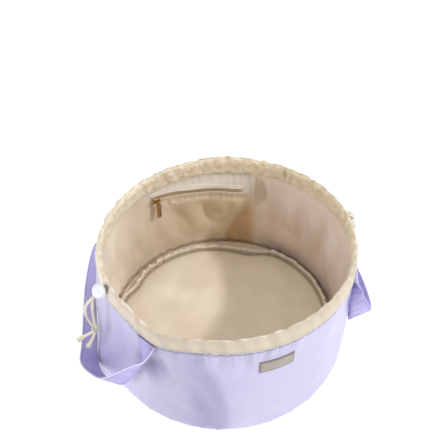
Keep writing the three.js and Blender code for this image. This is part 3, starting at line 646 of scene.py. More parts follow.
for side in ("left", "right"):
    egg = stopper(side)
    tied = knot_piece(side)
    for lane in ("a", "b"):
        name = f"cord_{side}_{lane}"
        route = spline(CORD_ROUTES[name])
        verts, faces, uv = tube(route, 1.07 * CORD_DIAMETER / 2, sides=30, lobes=STRANDS, pitch=ROPE_PITCH,
                                step=0.45, depth=0.2)
        rope = put(f"rope_{side}_{lane}", verts, faces, cotton, slot="cord_cotton", uv=uv,
                   tint=strand_shade(uv, ROPE_PITCH), replaces=[name])
for name in ("drawstring_left", "drawstring_right"):
    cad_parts[name].data.materials.clear()
    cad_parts[name].data.materials.append(inner_cotton)

# ---------------------------------------------------------------- outer wall and base
RING = 720
ANGLES = -180 + 360 * np.arange(RING) / RING

# Creases of the outer cloth: from angle and height, to angle and height, width, depth
WALL_CREASES = [
    (-110, 70, -108, 8, 7, 1.6), (-119, 120, -113, 60, 8, 0.9), (-141, 112, -136, 84, 5, 1.6),
    (-146, 118, -152, 60, 5, 1.1), (-128, 96, -121, 30, 9, 1.2), (-160, 128, -158, 40, 6, 1.6),
    (-168, 126, -163, 50, 6, 1.2), (-176, 120, -172, 70, 6, 0.9), (-103, 126, -105, 100, 4, 0.8),
    (-62, 118, -55, 40, 12, 0.8), (-40, 112, -35, 70, 6, 1.2), (-30, 100, -28, 20, 9, 0.9),
    (-14, 120, -12, 50, 7, 0.9), (20, 110, 24, 40, 8, 1.0), (42, 115, 47, 50, 7, 1.2), (62, 108, 60, 40, 9, 0.9),
    (126, 110, 122, 40, 7, 1.1), (140, 112, 143, 60, 6, 1.0), (158, 118, 160, 50, 7, 1.1),
    (172, 110, 169, 40, 8, 0.9), (-75, 40, -60, 12, 9, 0.8), (-135, 50, -128, 10, 8, 0.8), (-95, 30, -80, 10, 8, 0.6),
    (104, 60, 112, 14, 8, 0.8),
]
# Swells of the outer cloth: angle, share of the seam's height, spread, reach, millimetres
WALL_SWELLS = [
    (-107, 0.42, 6, 0.5, 2.4), (-118, 0.46, 8, 0.45, -4.2), (-144.5, 0.72, 4, 0.09, -4.0), (-147, 0.52, 6, 0.2, 1.6),
    (171, 0.6, 9, 0.38, 7.0), (-174, 0.16, 13, 0.2, 12.5), (-179, 0.3, 10, 0.2, 5.0), (-167, 0.45, 6, 0.5, -2.4),
    (-68, 0.45, 12, 0.4, 1.2), (-52, 0.55, 5, 0.4, -1.2), (-40, 0.5, 6, 0.4, 1.0), (-76, 0.88, 5, 0.12, -0.8),
    (-60, 0.85, 4, 0.15, 0.7),
]


def hem_rise(angle):
    """How much higher than its solid's the casing's outer hem lies, on the left of the front."""
    return 3.2 * bell(away(angle, -118), 0, 22)


def dressed_wall(angle, height):
    share = height / seam_height(angle)
    radius = wall_radius(angle, height)
    over_label = around(angle, -90, 13, 4) * falling(share, 0.93, 0.08)
    gather = rising(share, 0.86, 0.13) * (1 - over_label)
    front = 0.5 + 0.7 * bell(away(angle, -105), 0, 28)
    radius = radius + gather * front * (0.4 * ripple(angle, 45, 90, 3) + 0.45 * ripple(angle, 90, 170, 4))
    for middle, level, spread, reach, rise in WALL_SWELLS:
        near = np.exp(-(away(angle, middle) / spread) ** 2 - ((share - level) / reach) ** 2)
        radius = radius + rise * near * smoothstep(share / 0.12) * falling(share, 1, 0.08)
    soft = smoothstep(share / 0.15) * falling(share, 1, 0.1)
    radius = radius + soft * 0.55 * drift(np.radians(angle) * BASE_RADIUS, height * 0.45, 55, 14, 5)
    radius = radius + 0.35 * ripple(angle, 30, 70, 6) * np.exp(-(share / 0.06) ** 2)
    for row in WALL_CREASES:
        radius = radius + crease(angle, height, row)
    return radius


def wall_inside(angle, height):
    return np.minimum(dressed_wall(angle, height) - 1.0, wall_radius(angle, height) - OUTER_CLOTH - 0.4)


def ring_uv(levels):
    return grid_uv(np.radians(ANGLES) * BASE_RADIUS, levels)


def build_wall():
    shares = np.linspace(0, 1, 76)
    angle = ANGLES[:, None]
    foot, top = 0.5, seam_height(angle) + 2.5 + hem_rise(angle)
    height = foot + (top - foot) * shares[None, :]
    outside = polar(angle, dressed_wall(angle, height) - 1.0 * smoothstep((height - top + 3) / 3), height)
    inner = np.linspace(1, 0, 20)
    inner_height = foot + (top - foot) * inner[None, :]
    inside = polar(angle, wall_inside(angle, inner_height), inner_height)
    points = np.concatenate([outside, inside], axis=1)
    levels = np.concatenate([shares * 130, inner * 130])
    below = seam_height(angle) + hem_rise(angle) - height
    # Painted shadow under the casing's hem, deeper on its stitches, with a second line of it on the left of the front.
    dash = dashes(angle, BASE_RADIUS, 4.2)
    hem = bell(below, 3.0, 1.0) * (0.42 + 0.3 * dash * rising(angle, -125, 20))
    left = falling(angle, -100, 25) * rising(angle, -178, 4)
    hem = hem + 0.34 * left * bell(below, 4.0, 0.9)
    shade = np.ones((RING, len(shares), 3)) * (1 - hem)[..., None]
    share = height / seam_height(angle)
    # Painted shade: a darker band on the front left, where the wall turns away from the lamp.
    band_edge = -109.5 + 1.6 * np.sin(share * 4.2 + 0.4) - 5 * rising(share, 0.55, 0.4)
    band = smoothstep((band_edge - angle) / (2.6 + 7 * share)) * rising(angle, -134, 14) * (0.9 + 0.15 * share)
    dye_and_shade(shade, band, -0.2, -0.2, -0.1)
    # Painted shade, broader and fainter, on the same side.
    broad = smoothstep((band_edge - angle) / (4 + 9 * share)) * rising(angle, -154, 12)
    # Painted highlight along the foot of the wall.
    shade *= 1 + 0.12 * bell(height, 2, 1.6)[..., None]
    dye_and_shade(shade, broad, -0.14, -0.14, -0.14)
    # Painted light on the left of the wall.
    shade *= 1 + 0.12 * falling(angle, -152, 8)[..., None]
    # Painted shadow in the hollow beside the left strap's front end.
    dent_shadow = np.exp(-(away(angle, -145) / 5) ** 2 - ((height - 92) / 18) ** 2)
    dye_and_shade(shade, dent_shadow, -0.46, -0.46, -0.36)
    # Painted shade in the gathers under the casing's hem.
    gathered = rising(share, 0.78, 0.16) * falling(angle, -72, 20) * rising(angle, -140, 12)
    shade *= 1 - 0.13 * (gathered * np.clip(ripple(angle, 16, 60, 62) + 0.35, 0, 1.4))[..., None]
    # Painted light on the wedge of wall by the left strap, turning it greyer and paler.
    fold = 171 + (91 - height) / 75 * 18.5
    turn = np.mod(angle, 360)
    wedge = smoothstep((fold - turn) / 2) * rising(turn, 140, 12)
    dye_and_shade(shade, wedge, 0.72, 0.78, 0.25)
    # Painted shade along the wedge's crease.
    line = np.exp(-((turn - fold - 0.6) / 0.9) ** 2) * falling(height, 110, 20)
    dye_and_shade(shade, line, -0.34)
    tint = np.ones((RING, points.shape[1], 3))
    tint[:, :len(shares)] = shade
    faces = grid_faces(RING, points.shape[1], wrap_rows=True, wrap_columns=True)
    put("wall_cloth", points, faces, lilac, slot="outer_cloth", uv=ring_uv(levels), tint=tint, replaces=["outer_wall"])


def build_base():
    """The base's disc, with a soft welt where it is sewn to the wall."""
    profile = [(0, 0.0), (40, 0.0), (80, 0.0), (110, 0.0), (124, 0.05), (129, 0.2), (131.2, 0.6), (132.1, 1.2),
               (131.8, 1.9), (130, 2.2), (100, 2.0), (50, 2.0), (0, 2.0)]
    verts, faces = lathe(profile, 240)
    put("base_cloth", verts, faces, lilac, slot="outer_cloth", uv=verts[:, :2],
        replaces=["outer_base"])


build_wall()
build_base()

# ---------------------------------------------------------------- casing
CASING_SECTION = np.array([
    (1.9, -0.06), (2.9, 0.0), (3.3, 0.1), (3.35, 0.25), (3.2, 0.45), (3.3, 0.62), (3.0, 0.78), (2.2, 0.9),
    (1.1, 0.98), (0, 1.01), (-1.1, 0.98), (-2.2, 0.9), (-3.0, 0.78), (-3.3, 0.62), (-3.2, 0.45),
    (-3.2, 0.25), (-3.0, 0.1), (-2.3, 0.0), (-1.4, -0.05),
])


def exit_holes(angle, lift, half_width, half_height, soft):
    """1 in the two holes where the cords leave the casing, and 0 outside them."""
    total = 0
    for exit_angle in EXIT_ANGLES:
        across = away(angle, exit_angle) * MOUTH_ARC / half_width
        rise = (lift * CASING_HEIGHT - EXIT_HEIGHT) / half_height
        total = total + smoothstep((1 - np.sqrt(across * across + rise * rise)) / soft)
    return total


def crumple(angle, place):
    """Small broken folds of the casing's cloth."""
    arc = np.radians(angle) * MOUTH_RADIUS
    return drift(arc * 0.7, place * 42, 8, 26, 25) + 0.5 * drift(arc * 0.8, place * 50, 4.5, 26, 26)


def casing_point(angle, place):
    """Where the casing's cloth lies: place runs from 0 at its outer hem over the top to 1 at its inner one."""
    rows = np.linspace(0, 1, len(CASING_SECTION))
    out = np.interp(place, rows, CASING_SECTION[:, 0])
    lift = np.interp(place, rows, CASING_SECTION[:, 1])
    inner = rising(place, 0.42, 0.16)
    back = 0.55 + 0.45 * smoothstep((np.cos(np.radians(angle - 95)) + 0.5) / 0.9)
    slant = angle + 3.5 * (lift - 0.5) * np.sin(np.radians(angle * 3))
    sharp = ripple(slant, 70, 150, 21)
    wide = ripple(slant, 24, 60, 22)
    broken = crumple(angle, place)
    hem = 0.35 + 0.65 * np.sin(np.pi * np.clip(place, 0, 1)) ** 0.8
    front = smoothstep((-np.sin(np.radians(angle)) + 0.1) / 0.5)
    ruffle = hem * (inner * back * (0.3 * sharp + 0.65 * wide + 0.36 * broken)
                    + (1 - inner) * ((0.3 - 0.2 * front) * sharp + (0.5 - 0.25 * front) * wide + 0.1 * broken))
    step = 1.6 * falling(angle, 81, 0.8) * rising(angle, 48, 16)
    top = bell(place, 0.47, 0.17)
    radius = rim_radius(angle) + out + ruffle * np.where(out >= 0, 1, -1)
    height = (rim_height(angle) - CASING_HEIGHT + lift * CASING_HEIGHT
              + top * ((0.5 - 0.25 * front) * ripple(angle, 20, 60, 23)
                       + (0.4 - 0.25 * front) * ripple(angle, 60, 130, 24) + step)
              + hem_rise(angle) * falling(place, 0.32, 0.27))
    return radius - 2.8 * exit_holes(angle, lift, 5.6, 4.4, 0.3) * (place < 0.5), height


def build_casing():
    place = np.linspace(0, 1, 64)
    angle = ANGLES[:, None]
    radius, height = casing_point(angle, place[None, :])
    points = polar(angle, radius, height)
    rows = np.linspace(0, 1, len(CASING_SECTION))
    place = place[None, :]
    lift = np.interp(place, rows, CASING_SECTION[:, 1])
    tint = np.ones((*radius.shape, 3))
    # Painted shade inside the exit holes.
    dye_and_shade(tint, exit_holes(angle, lift, 5.4, 3.8, 0.2) * (place < 0.5), -0.85)
    seam = bell(away(angle, 35), 0, 0.5) + 0.25 * bell(away(angle, -112), 0, 0.4)
    # Painted shade on the casing's front face below its top, darker still low on the front.
    face = falling(place, 0.5, 0.05) * smoothstep(-np.sin(np.radians(angle)) / 0.4)
    dye_and_shade(tint, face, -0.25, -0.245, -0.235)
    tint *= 1 - 0.14 * (face * falling(place, 0.22, 0.16) * falling(angle, -50, 60))[..., None]
    # Painted light and shade of soft puckers on the front face.
    tint *= 1 + (0.05 * face * np.clip(ripple(angle + 6 * place, 18, 70, 27), -1.5, 1.5))[..., None]
    # Painted shadow along the lower edge of the casing's outer side.
    under = falling(place, 0.10, 0.06) * around(angle, -75, 150, 10)
    tint *= 1 - under[..., None] * 0.35 * falling(angle, -30, 60)[..., None]
    # Painted light on the casing round the back left.
    sunny = around(angle, 160, 60, 20)
    dye_and_shade(tint, sunny, 0.08, 0.11, 0.17)
    # Painted shade on the casing's inner face at the right.
    inner = rising(place, 0.46, 0.1) * around(angle, 22, 62, 25)
    dye_and_shade(tint, inner, -0.07, -0.08, -0.15)
    tint *= (1 - 0.35 * np.clip(seam, 0, 1))[..., None]
    # Painted light and shade of the small crumples: lighter on their ridges, darker and warmer in their hollows.
    crumple_shade = np.clip(crumple(angle, place), -1.6, 1.6) * rising(place, 0.35, 0.2) * 0.06
    dye_and_shade(tint, crumple_shade, 1.0, 1.25, 1.8)
    faces = grid_faces(*radius.shape, wrap_rows=True, wrap_columns=True)
    put("casing_cloth", points, faces, cream, slot="casing_cloth", uv=ring_uv(place[0] * 50), tint=tint,
        replaces=["casing"])
    pile = Pile()
    for where, lift_out in ((0.075, 1), (0.93, -1)):
        radius, height = casing_point(ANGLES, np.full(RING, where))
        line = polar(ANGLES, radius, height)
        line = np.vstack([line, line[:1]])
        normal = polar(np.append(ANGLES, ANGLES[0]), lift_out, 0)
        stitches(pile, line, normal, spacing=3.4, length=2.2, radius=0.3)
    pile.put("casing_stitches", thread, slot="casing_cloth")


build_casing()

# ---------------------------------------------------------------- lining, floor and its bound seam
LINING_CREASES = [
    (168, 118, 172, 30, 6, 1.6), (158, 120, 150, 20, 7, 1.5), (147, 112, 143, 30, 7, 1.4),
    (137, 108, 130, 16, 8, 1.2), (124, 96, 117, 18, 8, 1.4), (110, 92, 104, 20, 9, 1.3), (97, 92, 85, 8, 9, 2.4),
    (80, 88, 70, 30, 8, 1.8), (62, 92, 66, 24, 8, 1.6), (52, 112, 46, 30, 9, 1.2), (38, 110, 34, 20, 9, 1.2),
    (45, 60, 20, 40, 9, 1.2), (24, 104, 20, 30, 8, 1.3), (8, 112, 10, 30, 9, 1.1), (-8, 110, -4, 24, 8, 1.4),
    (-22, 108, -20, 40, 8, 1.0), (100, 102, 97, 86, 3, 0.9), (93, 103, 91, 88, 3, 0.8), (86, 104, 85, 90, 3, 0.8),
    (79, 106, 77, 90, 3, 0.8), (72, 108, 70, 92, 3, 0.8), (-60, 110, -50, 30, 10, 1.0), (-100, 120, -96, 30, 10, 1.0),
    (-140, 100, -134, 30, 9, 1.0),
]
# Loose cloth of the lining: angle, height, spread, reach, millimetres towards the middle of the bag
LINING_SWELLS = [
    (62, 70, 9, 32, 7.0), (101, 55, 8, 28, 2.0), (76, 40, 6, 30, 1.6), (122, 60, 9, 30, 2.2), (30, 85, 10, 22, 2.4),
    (18, 40, 9, 20, 1.8), (-6, 86, 10, 26, 2.6), (44, 30, 8, 18, 1.6), (143, 80, 9, 30, 2.0),
]


def zip_height(angle):
    return seam_height(90) - 23 + 11 * (1 - (ZIP_END - angle) / (ZIP_END - ZIP_START))


def zip_calm(angle, height):
    """1 over the zip, where the lining is held flat, and 0 away from it."""
    near = falling(np.abs(height - zip_height(angle)), 15, 5)
    return near * around(angle, 82, 30, 3)


def dressed_lining(angle, height):
    share = height / seam_height(angle)
    flat = radius = lining_radius(angle, height)
    soft = rising(height, 8, 20) * falling(share, 1, 0.12)
    radius = radius - soft * (1.2 + 1.1 * drift(np.radians(angle) * BASE_RADIUS, height * 0.5, 44, 14, 31))
    pucker = bell(height, 9, 6)
    radius = radius - pucker * (0.5 * ripple(angle, 40, 90, 32) + 0.4)
    gather = rising(share, 0.86, 0.12)
    radius = radius + gather * 0.35 * ripple(angle, 50, 120, 33)
    for row in LINING_CREASES:
        radius = radius - 1.5 * crease(angle, height, row)
    for middle, level, spread, reach, rise in LINING_SWELLS:
        near = np.exp(-(away(angle, middle) / spread) ** 2 - ((height - level) / reach) ** 2)
        swell = rise * near * falling(share, 1, 0.12) * rising(height, 4, 14)
        flat = flat - swell
        radius = radius - swell
    free = flat + (radius - flat) * (1 - zip_calm(angle, height))
    room = (free - dressed_wall(angle, height) + 2.4) / 0.5
    return free - 0.5 * np.logaddexp(0, room)


def build_lining():
    shares = np.linspace(0, 1, 76)
    angle = ANGLES[:, None]
    foot, top = 2.2, seam_height(angle) + 1.5
    height = foot + (top - foot) * shares[None, :]
    inside = polar(angle, dressed_lining(angle, height), height)
    outer = np.linspace(1, 0, 20)
    outer_height = foot + (top - foot) * outer[None, :]
    behind = np.minimum(lining_radius(angle, outer_height) + LINING_CLOTH + 0.2, wall_inside(angle, outer_height) - 0.1)
    outside = polar(angle, behind, outer_height)
    points = np.concatenate([inside, outside], axis=1)
    tint = np.ones((RING, points.shape[1], 3))
    turn = away(angle, 82)
    level = np.concatenate([height, np.broadcast_to(outer_height, (RING, len(outer)))], axis=1)
    below = seam_height(angle) - level
    zip_drop = seam_height(angle) - zip_height(angle)
    pale = rising(turn, -29.5, 2) * falling(turn, 30, 4) * smoothstep((zip_drop - 1 - below) / 3)
    pale = np.maximum(pale, falling(np.abs(turn + 27), 4.5, 2.5) * smoothstep((zip_drop + 9 - below) / 3))
    dye_and_shade(tint, pale, -0.11, -0.06, 0.01)
    # Painted light and shade of the puckers over the pale panel.
    tint *= 1 + 0.03 * (pale * np.clip(ripple(angle - level * 0.1, 40, 130, 34), -1.5, 1.5))[..., None]
    dash = dashes(angle, MOUTH_RADIUS, 4.0)
    topstitch = bell(below, 3.2, 0.7) * dash * falling(np.abs(turn - 14), 52, 8)
    dye_and_shade(tint, topstitch, -0.3)
    # Painted light: lamp light through the cloth on the right, tinting the lining mauve.
    backlit = falling(angle, 48, 8) * rising(angle, -70, 20) * (1 - pale)
    dye_and_shade(tint, backlit, 0.005, -0.02, 0.055)
    # Painted glow where light comes through the cloth on the far right.
    glow = np.exp(-((angle + 4) / 11) ** 2 - ((level - 84) / 24) ** 2)
    dye_and_shade(tint, glow, 0.07, 0.14, 0.22)
    # Painted shade low on the right, above the floor's seam.
    low = bell(level, 12, 12) * falling(angle, 52, 14) * rising(angle, -40, 20)
    dye_and_shade(tint, low, -0.22, -0.25, -0.20)
    # Painted shade in a narrow stripe beside that glow.
    shade_streak = np.exp(-((angle - 9 - (92 - level) * 0.08) / 3.2) ** 2 - ((level - 66) / 40) ** 2)
    dye_and_shade(tint, shade_streak, -0.13, -0.15, -0.22)
    # Painted shade over the pocket, whose double cloth lets less light through.
    bag = rising(turn, -33, 9) * falling(turn, 34, 8) * smoothstep((below - zip_drop) / 6)
    bag *= 1 - 0.6 * rising(turn, 5, 20)
    dye_and_shade(tint, bag, -0.13, -0.16, -0.24)
    # Painted shadow: a patch of brownish shade right of the shadow edge on the back wall.
    edge = angle - (68 - level / 70 * 9.5)
    brown_shadow = rising(turn, -34, 6) * falling(edge, 1.0, 1.6) * falling(level, 100, 44)
    dye_and_shade(tint, brown_shadow, -0.11, -0.27, -0.44)
    # Painted light left of that shadow edge.
    bright = rising(edge, 0.5, 3) * falling(angle, 90, 12) * falling(level, 96, 12)
    dye_and_shade(tint, bright, 0.12, 0.12, 0.12)
    # Painted shade on the back left.
    tint *= 1 - 0.07 * bell(angle, 116, 12)[..., None] * np.array([1.0, 1.0, 1.2])
    # Painted shadow at the right end of the zip, past the pale panel.
    bend = 42.5 + 3 * ((level - 100) / 18) ** 2
    dark = falling(angle, 51.6, 1.4) * smoothstep((angle - bend) / 2.4) * falling(level, 121, 5)
    dark = dark * (0.5 * rising(level, 62, 10) + 0.5 * rising(level, 82, 10))
    dye_and_shade(tint, dark, -0.32, -0.35, -0.42)
    # Painted shadow under the zip.
    under_zip_shadow = rising(angle, 53, 3) * falling(angle, 80, 8) * rising(level, 52, 14)
    under_zip_shadow = under_zip_shadow * smoothstep((zip_height(angle) - 3 - level) / 4)
    dye_and_shade(tint, under_zip_shadow, -0.17, -0.185, -0.25)
    # Painted light and shade of small pleats under the zip.
    pleat_shade = smoothstep((zip_height(angle) - 6 - level) / 2) * smoothstep((level - zip_height(angle) + 17) / 7)
    pleat_shade = pleat_shade * rising(angle, 56, 3) * falling(angle, 104, 4)
    tint *= 1 + 0.09 * (pleat_shade * np.clip(ripple(angle, 60, 140, 35), -1.3, 1.3))[..., None]
    # Painted shade along the foot of the lining, where it meets the binding.
    foot = np.exp(-((level - 6.5 - 0.8 * ripple(angle, 30, 80, 54)) / 2.0) ** 2)
    dye_and_shade(tint, foot, -0.45, -0.50, -0.52)
    # Painted light on the lining round the left of the mouth.
    left = around(angle, 180, 62, 26) * rising(level, -12, 30)
    dye_and_shade(tint, left, 0.19, 0.26, 0.36)
    # Painted light low on the left.
    corner = around(angle, 168, 40, 14) * falling(level, 60, 30)
    dye_and_shade(tint, corner, 0.16)
    faces = grid_faces(RING, points.shape[1], wrap_rows=True, wrap_columns=True)
    put("lining_cloth", points, faces, beige, slot="lining_cloth", uv=ring_uv(np.concatenate([shares, outer]) * 130),
        tint=tint, replaces=["lining_wall"])


def floor_height(x, y, reach):
    """Top of the padded floor: crowned, with soft swells, and drawn down at its seam."""
    swell = 1.1 * drift(x, y, 62, 10, 41) + 0.35 * drift(x, y, 26, 12, 42)
    return 5.8 + 1.1 * (1 - reach ** 4) + swell * falling(reach, 1, 0.2)


# Painted sheen and shade of the floor's satin: x, y, size, gain
FLOOR_LIGHTS = [(-64, 17, 15, 0.09), (-7, 37, 20, 0.07), (-62, 74, 20, 0.07), (-34, 2, 13, -0.05), (-88, 48, 15, -0.05),
                (-42, 70, 17, 0.17), (-22, 91, 16, 0.16), (-4, 107, 15, 0.15), (-30, 56, 14, 0.10), (-70, 50, 15, 0.06)]


def build_floor():
    rings, sides = 90, 300
    reach = np.linspace(0.004, 1, rings) ** 0.9
    phi = np.linspace(0, 2 * math.pi, sides, endpoint=False)
    radius = 125.4 * reach
    x = radius[:, None] * np.cos(phi)
    y = radius[:, None] * np.sin(phi)
    top = np.stack([x, y, floor_height(x, y, np.broadcast_to(reach[:, None], x.shape))], axis=-1)
    edge = []
    for r, z in ((126.0, 4.6), (126.0, 3.2), (125.2, 2.0), (60, 2.0), (1, 2.0)):
        edge.append(np.stack([r * np.cos(phi), r * np.sin(phi), np.full(sides, float(z))], axis=-1))
    points = np.concatenate([top, np.array(edge)], axis=0)
    count = points.shape[0]
    faces = sleeve_faces(count, sides)
    tint = np.ones((count, sides, 3))
    # Painted shade across the floor: darker towards the left, and yellower in the shadowed right part.
    shade_ramp = (points[..., 0] * 0.85 - points[..., 1] * 0.53 + 62) / 30
    tint *= (0.9 + 0.1 * smoothstep(shade_ramp))[..., None] * np.array([0.985, 1.0, 1.0])
    tint *= 1 - rising(shade_ramp, 1.5, 0.5)[..., None] * np.array([0.03, 0.02, 0.06])
    # Painted sheen and shade from FLOOR_LIGHTS.
    for x, y, size, gain in FLOOR_LIGHTS:
        near = np.exp(-((points[..., 0] - x) ** 2 + (points[..., 1] - y) ** 2) / size ** 2)
        tint *= 1 + gain * near[..., None] * np.array([0.85, 1.2, 1.5])
    # Painted shade along the seam, where the binding stands over the floor.
    seam = BASE_RADIUS * closed_curve(FLOOR_SEAM_ROWS, 1, np.degrees(phi))
    line = np.hypot(points[..., 0], points[..., 1]) - seam + 3
    tint *= 1 - 0.55 * np.exp(-(line / 1.5) ** 2)[..., None] * np.array([0.85, 1.0, 1.15])
    pad = put("floor_pad", points, faces, beige, slot="lining_cloth", uv=points[..., :2], tint=tint,
              replaces=["lining_floor"])


def build_binding():
    """The standing seam allowance round the floor, bound along its top edge."""
    angle = ANGLES[:, None]
    section = np.array([
        (0.0, 0.0), (-0.1, 0.25), (0.1, 0.5), (-0.35, 0.62), (-0.45, 0.78), (-0.3, 0.93), (0.4, 1.02), (1.2, 0.96),
        (1.7, 0.8), (1.75, 0.64), (1.4, 0.5), (1.5, 0.25), (1.6, 0.0),
    ])
    puckered = 0.6 + 1.5 * bell(away(angle, 116), 0, 22)
    inside = BASE_RADIUS * closed_curve(FLOOR_SEAM_ROWS, 1, angle) - 2
    wave = puckered * (0.45 * ripple(angle, 25, 60, 51) + 0.45 * ripple(angle, 60, 140, 52))
    tall = 7.8 * (1 + 0.12 * ripple(angle, 10, 40, 53) * puckered)
    lift = section[None, :, 1]
    radius = inside + 1.7 * section[None, :, 0] + (0.3 + 0.7 * lift) * wave + 0.8 * lift
    foot = 5.4
    height = foot + lift * tall
    points = polar(angle, radius, height)
    tint = np.ones((RING, len(section), 3))
    # Painted light on the binding's top edge and shade low on it and in its puckers.
    tint *= (0.62 + 0.33 * rising(lift, 0.4, 0.35))[..., None] * np.array([0.98, 1.0, 1.02])
    tint *= 1 + np.clip(wave, -1.4, 0.5)[..., None] * 0.2
    faces = grid_faces(RING, len(section), wrap_rows=True, wrap_columns=True)
    put("seam_binding", points, faces, beige, slot="lining_cloth", uv=ring_uv(section[:, 1] * 8), tint=tint,
        replaces=["floor_binding"])
    pile = Pile()
    line = polar(ANGLES, (radius[:, 3] + radius[:, 4]) / 2, (height[:, 3] + height[:, 4]) / 2)
    stitches(pile, np.vstack([line, line[:1]]), polar(np.append(ANGLES, ANGLES[0]), -1, 0), spacing=3.4, radius=0.22)
    pile.put("binding_stitches", thread, slot="lining_cloth")


build_lining()
build_floor()
build_binding()

# ---------------------------------------------------------------- straps
def strap_values(rows, places):
    spans = len(rows) - 1
    index = np.minimum(spans - 1, np.floor(places * spans)).astype(int)
    share = (places * spans - index)[:, None]
    return hermite(rows[np.maximum(0, index - 1)], rows[index], rows[index + 1],
                   rows[np.minimum(spans, index + 2)], share)


def strap_edge(side, off, stand, drop):
    angle = -180 + off if side < 0 else -off
    height = seam_height(angle) - SEAM_GAP - drop * STRAP_DROP
    clear = SEAM_GAP + STRAP_WIDTH ** 2 / (8 * BASE_RADIUS) + STRAP_THICKNESS / 2 + stand * STRAP_WIDTH
    return polar(angle, wall_radius(angle, height) + clear, height)


def build_strap(side):
    name = "left" if side < 0 else "right"
    stations = 300
    values = strap_values(STRAP_ROWS[side], np.linspace(0, 1, stations + 1))
    if side > 0:
        values[:, 4] *= 0.4
    outer = strap_edge(side, values[:, 0], values[:, 1], values[:, 2])
    inner = strap_edge(side, values[:, 3], values[:, 4], values[:, 5])
    middle = (outer + inner) / 2
    travel = np.gradient(middle, axis=0)
    across = outer - inner
    normal = np.cross(across, travel)
    normal /= np.linalg.norm(normal, axis=1)[:, None]
    along = travelled(middle)
    # Across the strap: a raised hem along each edge, a stitch groove inside it and a softer middle
    cut = np.array([0, 0.012, 0.03, 0.06, 0.085, 0.1, 0.112, 0.124, 0.15, 0.22, 0.32, 0.42, 0.5])
    rise = np.array([0.1, 0.6, 0.92, 1.0, 0.95, 0.72, 0.55, 0.7, 0.85, 0.82, 0.8, 0.8, 0.8])
    place = np.concatenate([cut, 1 - cut[-2::-1]])
    if side > 0:
        rise = np.where(cut > 0.012, 0.8 + 0.25 * (rise - 0.8), rise)
    thick = np.concatenate([rise, rise[-2::-1]]) * STRAP_THICKNESS / 2
    seed = 61 if side < 0 else 71
    strength = 0.35 if side < 0 else 0.75
    warp = strength * np.sin(np.pi * place)[None, :] ** 0.7 * (
        0.7 * drift(along[:, None], place[None, :] * STRAP_WIDTH * 0.35, 15, 12, seed)
        + 0.3 * drift(along[:, None], place[None, :] * STRAP_WIDTH * 0.4, 7, 12, seed + 1))
    base = inner[:, None, :] + across[:, None, :] * place[None, :, None] + normal[:, None, :] * warp[..., None]
    face = base + normal[:, None, :] * thick[None, :, None]
    back = base - normal[:, None, :] * thick[None, :, None]
    points = np.concatenate([face, back[:, ::-1, :]], axis=1)
    count = points.shape[1]
    faces = sleeve_faces(stations + 1, count)
    loop = np.concatenate([place * STRAP_WIDTH, (1 + place) * STRAP_WIDTH])
    uv = grid_uv(along, loop)
    half = len(place)
    edge = np.minimum(place, 1 - place) * STRAP_WIDTH
    # Painted light and shade along the edges: highlights on the left strap's hems and shade in its stitch grooves,
    # faint shade at the right strap's edges and grooves.
    bright, groove = (0.8, 0.42) if side < 0 else (-0.25, 0.15)
    light = bright * (bell(edge, 0.4, 0.5) + 0.5 * bell(edge, 2.0, 0.4))
    dark = groove * (0.5 * bell(edge, 1.3, 0.3) + bell(edge, 2.9, 0.45))
    line = 1 - dark[:, None] + light[:, None] * np.array([1.0, 1.1, 0.35])
    tint = np.ones((stations + 1, count, 3)) * np.concatenate([line, line[::-1]])[None]
    # Painted light and shade of soft wrinkles on the right strap.
    if side > 0:
        tint *= 1 + 0.1 * np.clip(drift(along[:, None], loop[None, :] * 0.3, 10, 10, 75), -1.2, 1.2)[..., None]
    # Painted light on the left strap's back part, and faint painted shade on its front part.
    if side < 0:
        under = smoothstep((0.48 - np.linspace(0, 1, stations + 1)) / 0.06)
        tint *= 1 - under[:, None, None] * np.array([0.05, 0.05, 0.0])
        tint *= 1 + (1 - under)[:, None, None] * np.array([0.22, 0.24, 0.15])
    put(f"strap_cloth_{name}", points, faces, strap_lilac_shaded, slot="strap_cloth", uv=uv, tint=tint,
        replaces=[f"strap_{name}"])
    pile = Pile()
    for column in (6, half - 7):
        for sheet, way in ((face, 1), (back, -1)):
            stitches(pile, sheet[:, column], normal * way, spacing=2.9, length=2.0, radius=0.24, lift=0.22)
    pile.put(f"strap_stitches_{name}", lilac_thread, slot="strap_cloth")


build_strap(-1)
build_strap(1)

# ---------------------------------------------------------------- zip pocket
SLIDER_ANGLE = 105.5
SLIDER_ORIGIN = np.array([-31.08, 112.09, 108.83])
SLIDER_TURN = math.radians(SLIDER_ANGLE + 90)
SLIDER_X = np.array([math.cos(SLIDER_TURN), math.sin(SLIDER_TURN), 0])
SLIDER_Y = np.array([-math.sin(SLIDER_TURN), math.cos(SLIDER_TURN), 0])


def at_slider(points):
    points = np.asarray(points, float).reshape(-1, 3)
    return (SLIDER_ORIGIN + points[:, :1] * SLIDER_X + points[:, 1:2] * SLIDER_Y
            + points[:, 2:3] * np.array([0, 0, 1.0]))


def plate(outline, low, high, bevel):
    """A bevelled plate: outline is a convex loop of (x, z), and low and high are its two faces in y."""
    outline = np.asarray(outline, float)
    centre = outline.mean(axis=0)
    reach = np.abs(outline - centre).max()
    shrunk = centre + (outline - centre) * (1 - bevel / reach)
    rings = []
    for loop, y in ((shrunk, low), (outline, low + bevel), (outline, high - bevel), (shrunk, high)):
        rings.append(np.stack([loop[:, 0], np.full(len(loop), y), loop[:, 1]], axis=1))
    return np.concatenate(rings), sleeve_faces(4, len(outline))


def rounded_loop(points, radius, steps=5):
    """A loop of straight sides with each corner rounded."""
    points = np.asarray(points, float)
    out = []
    for i, here in enumerate(points):
        before, after = points[i - 1], points[(i + 1) % len(points)]
        a = (before - here) / np.linalg.norm(before - here)
        b = (after - here) / np.linalg.norm(after - here)
        for t in np.linspace(0, 1, steps):
            out.append((1 - t) ** 2 * (here + a * radius) + 2 * t * (1 - t) * here + t * t * (here + b * radius))
    return np.array(out)


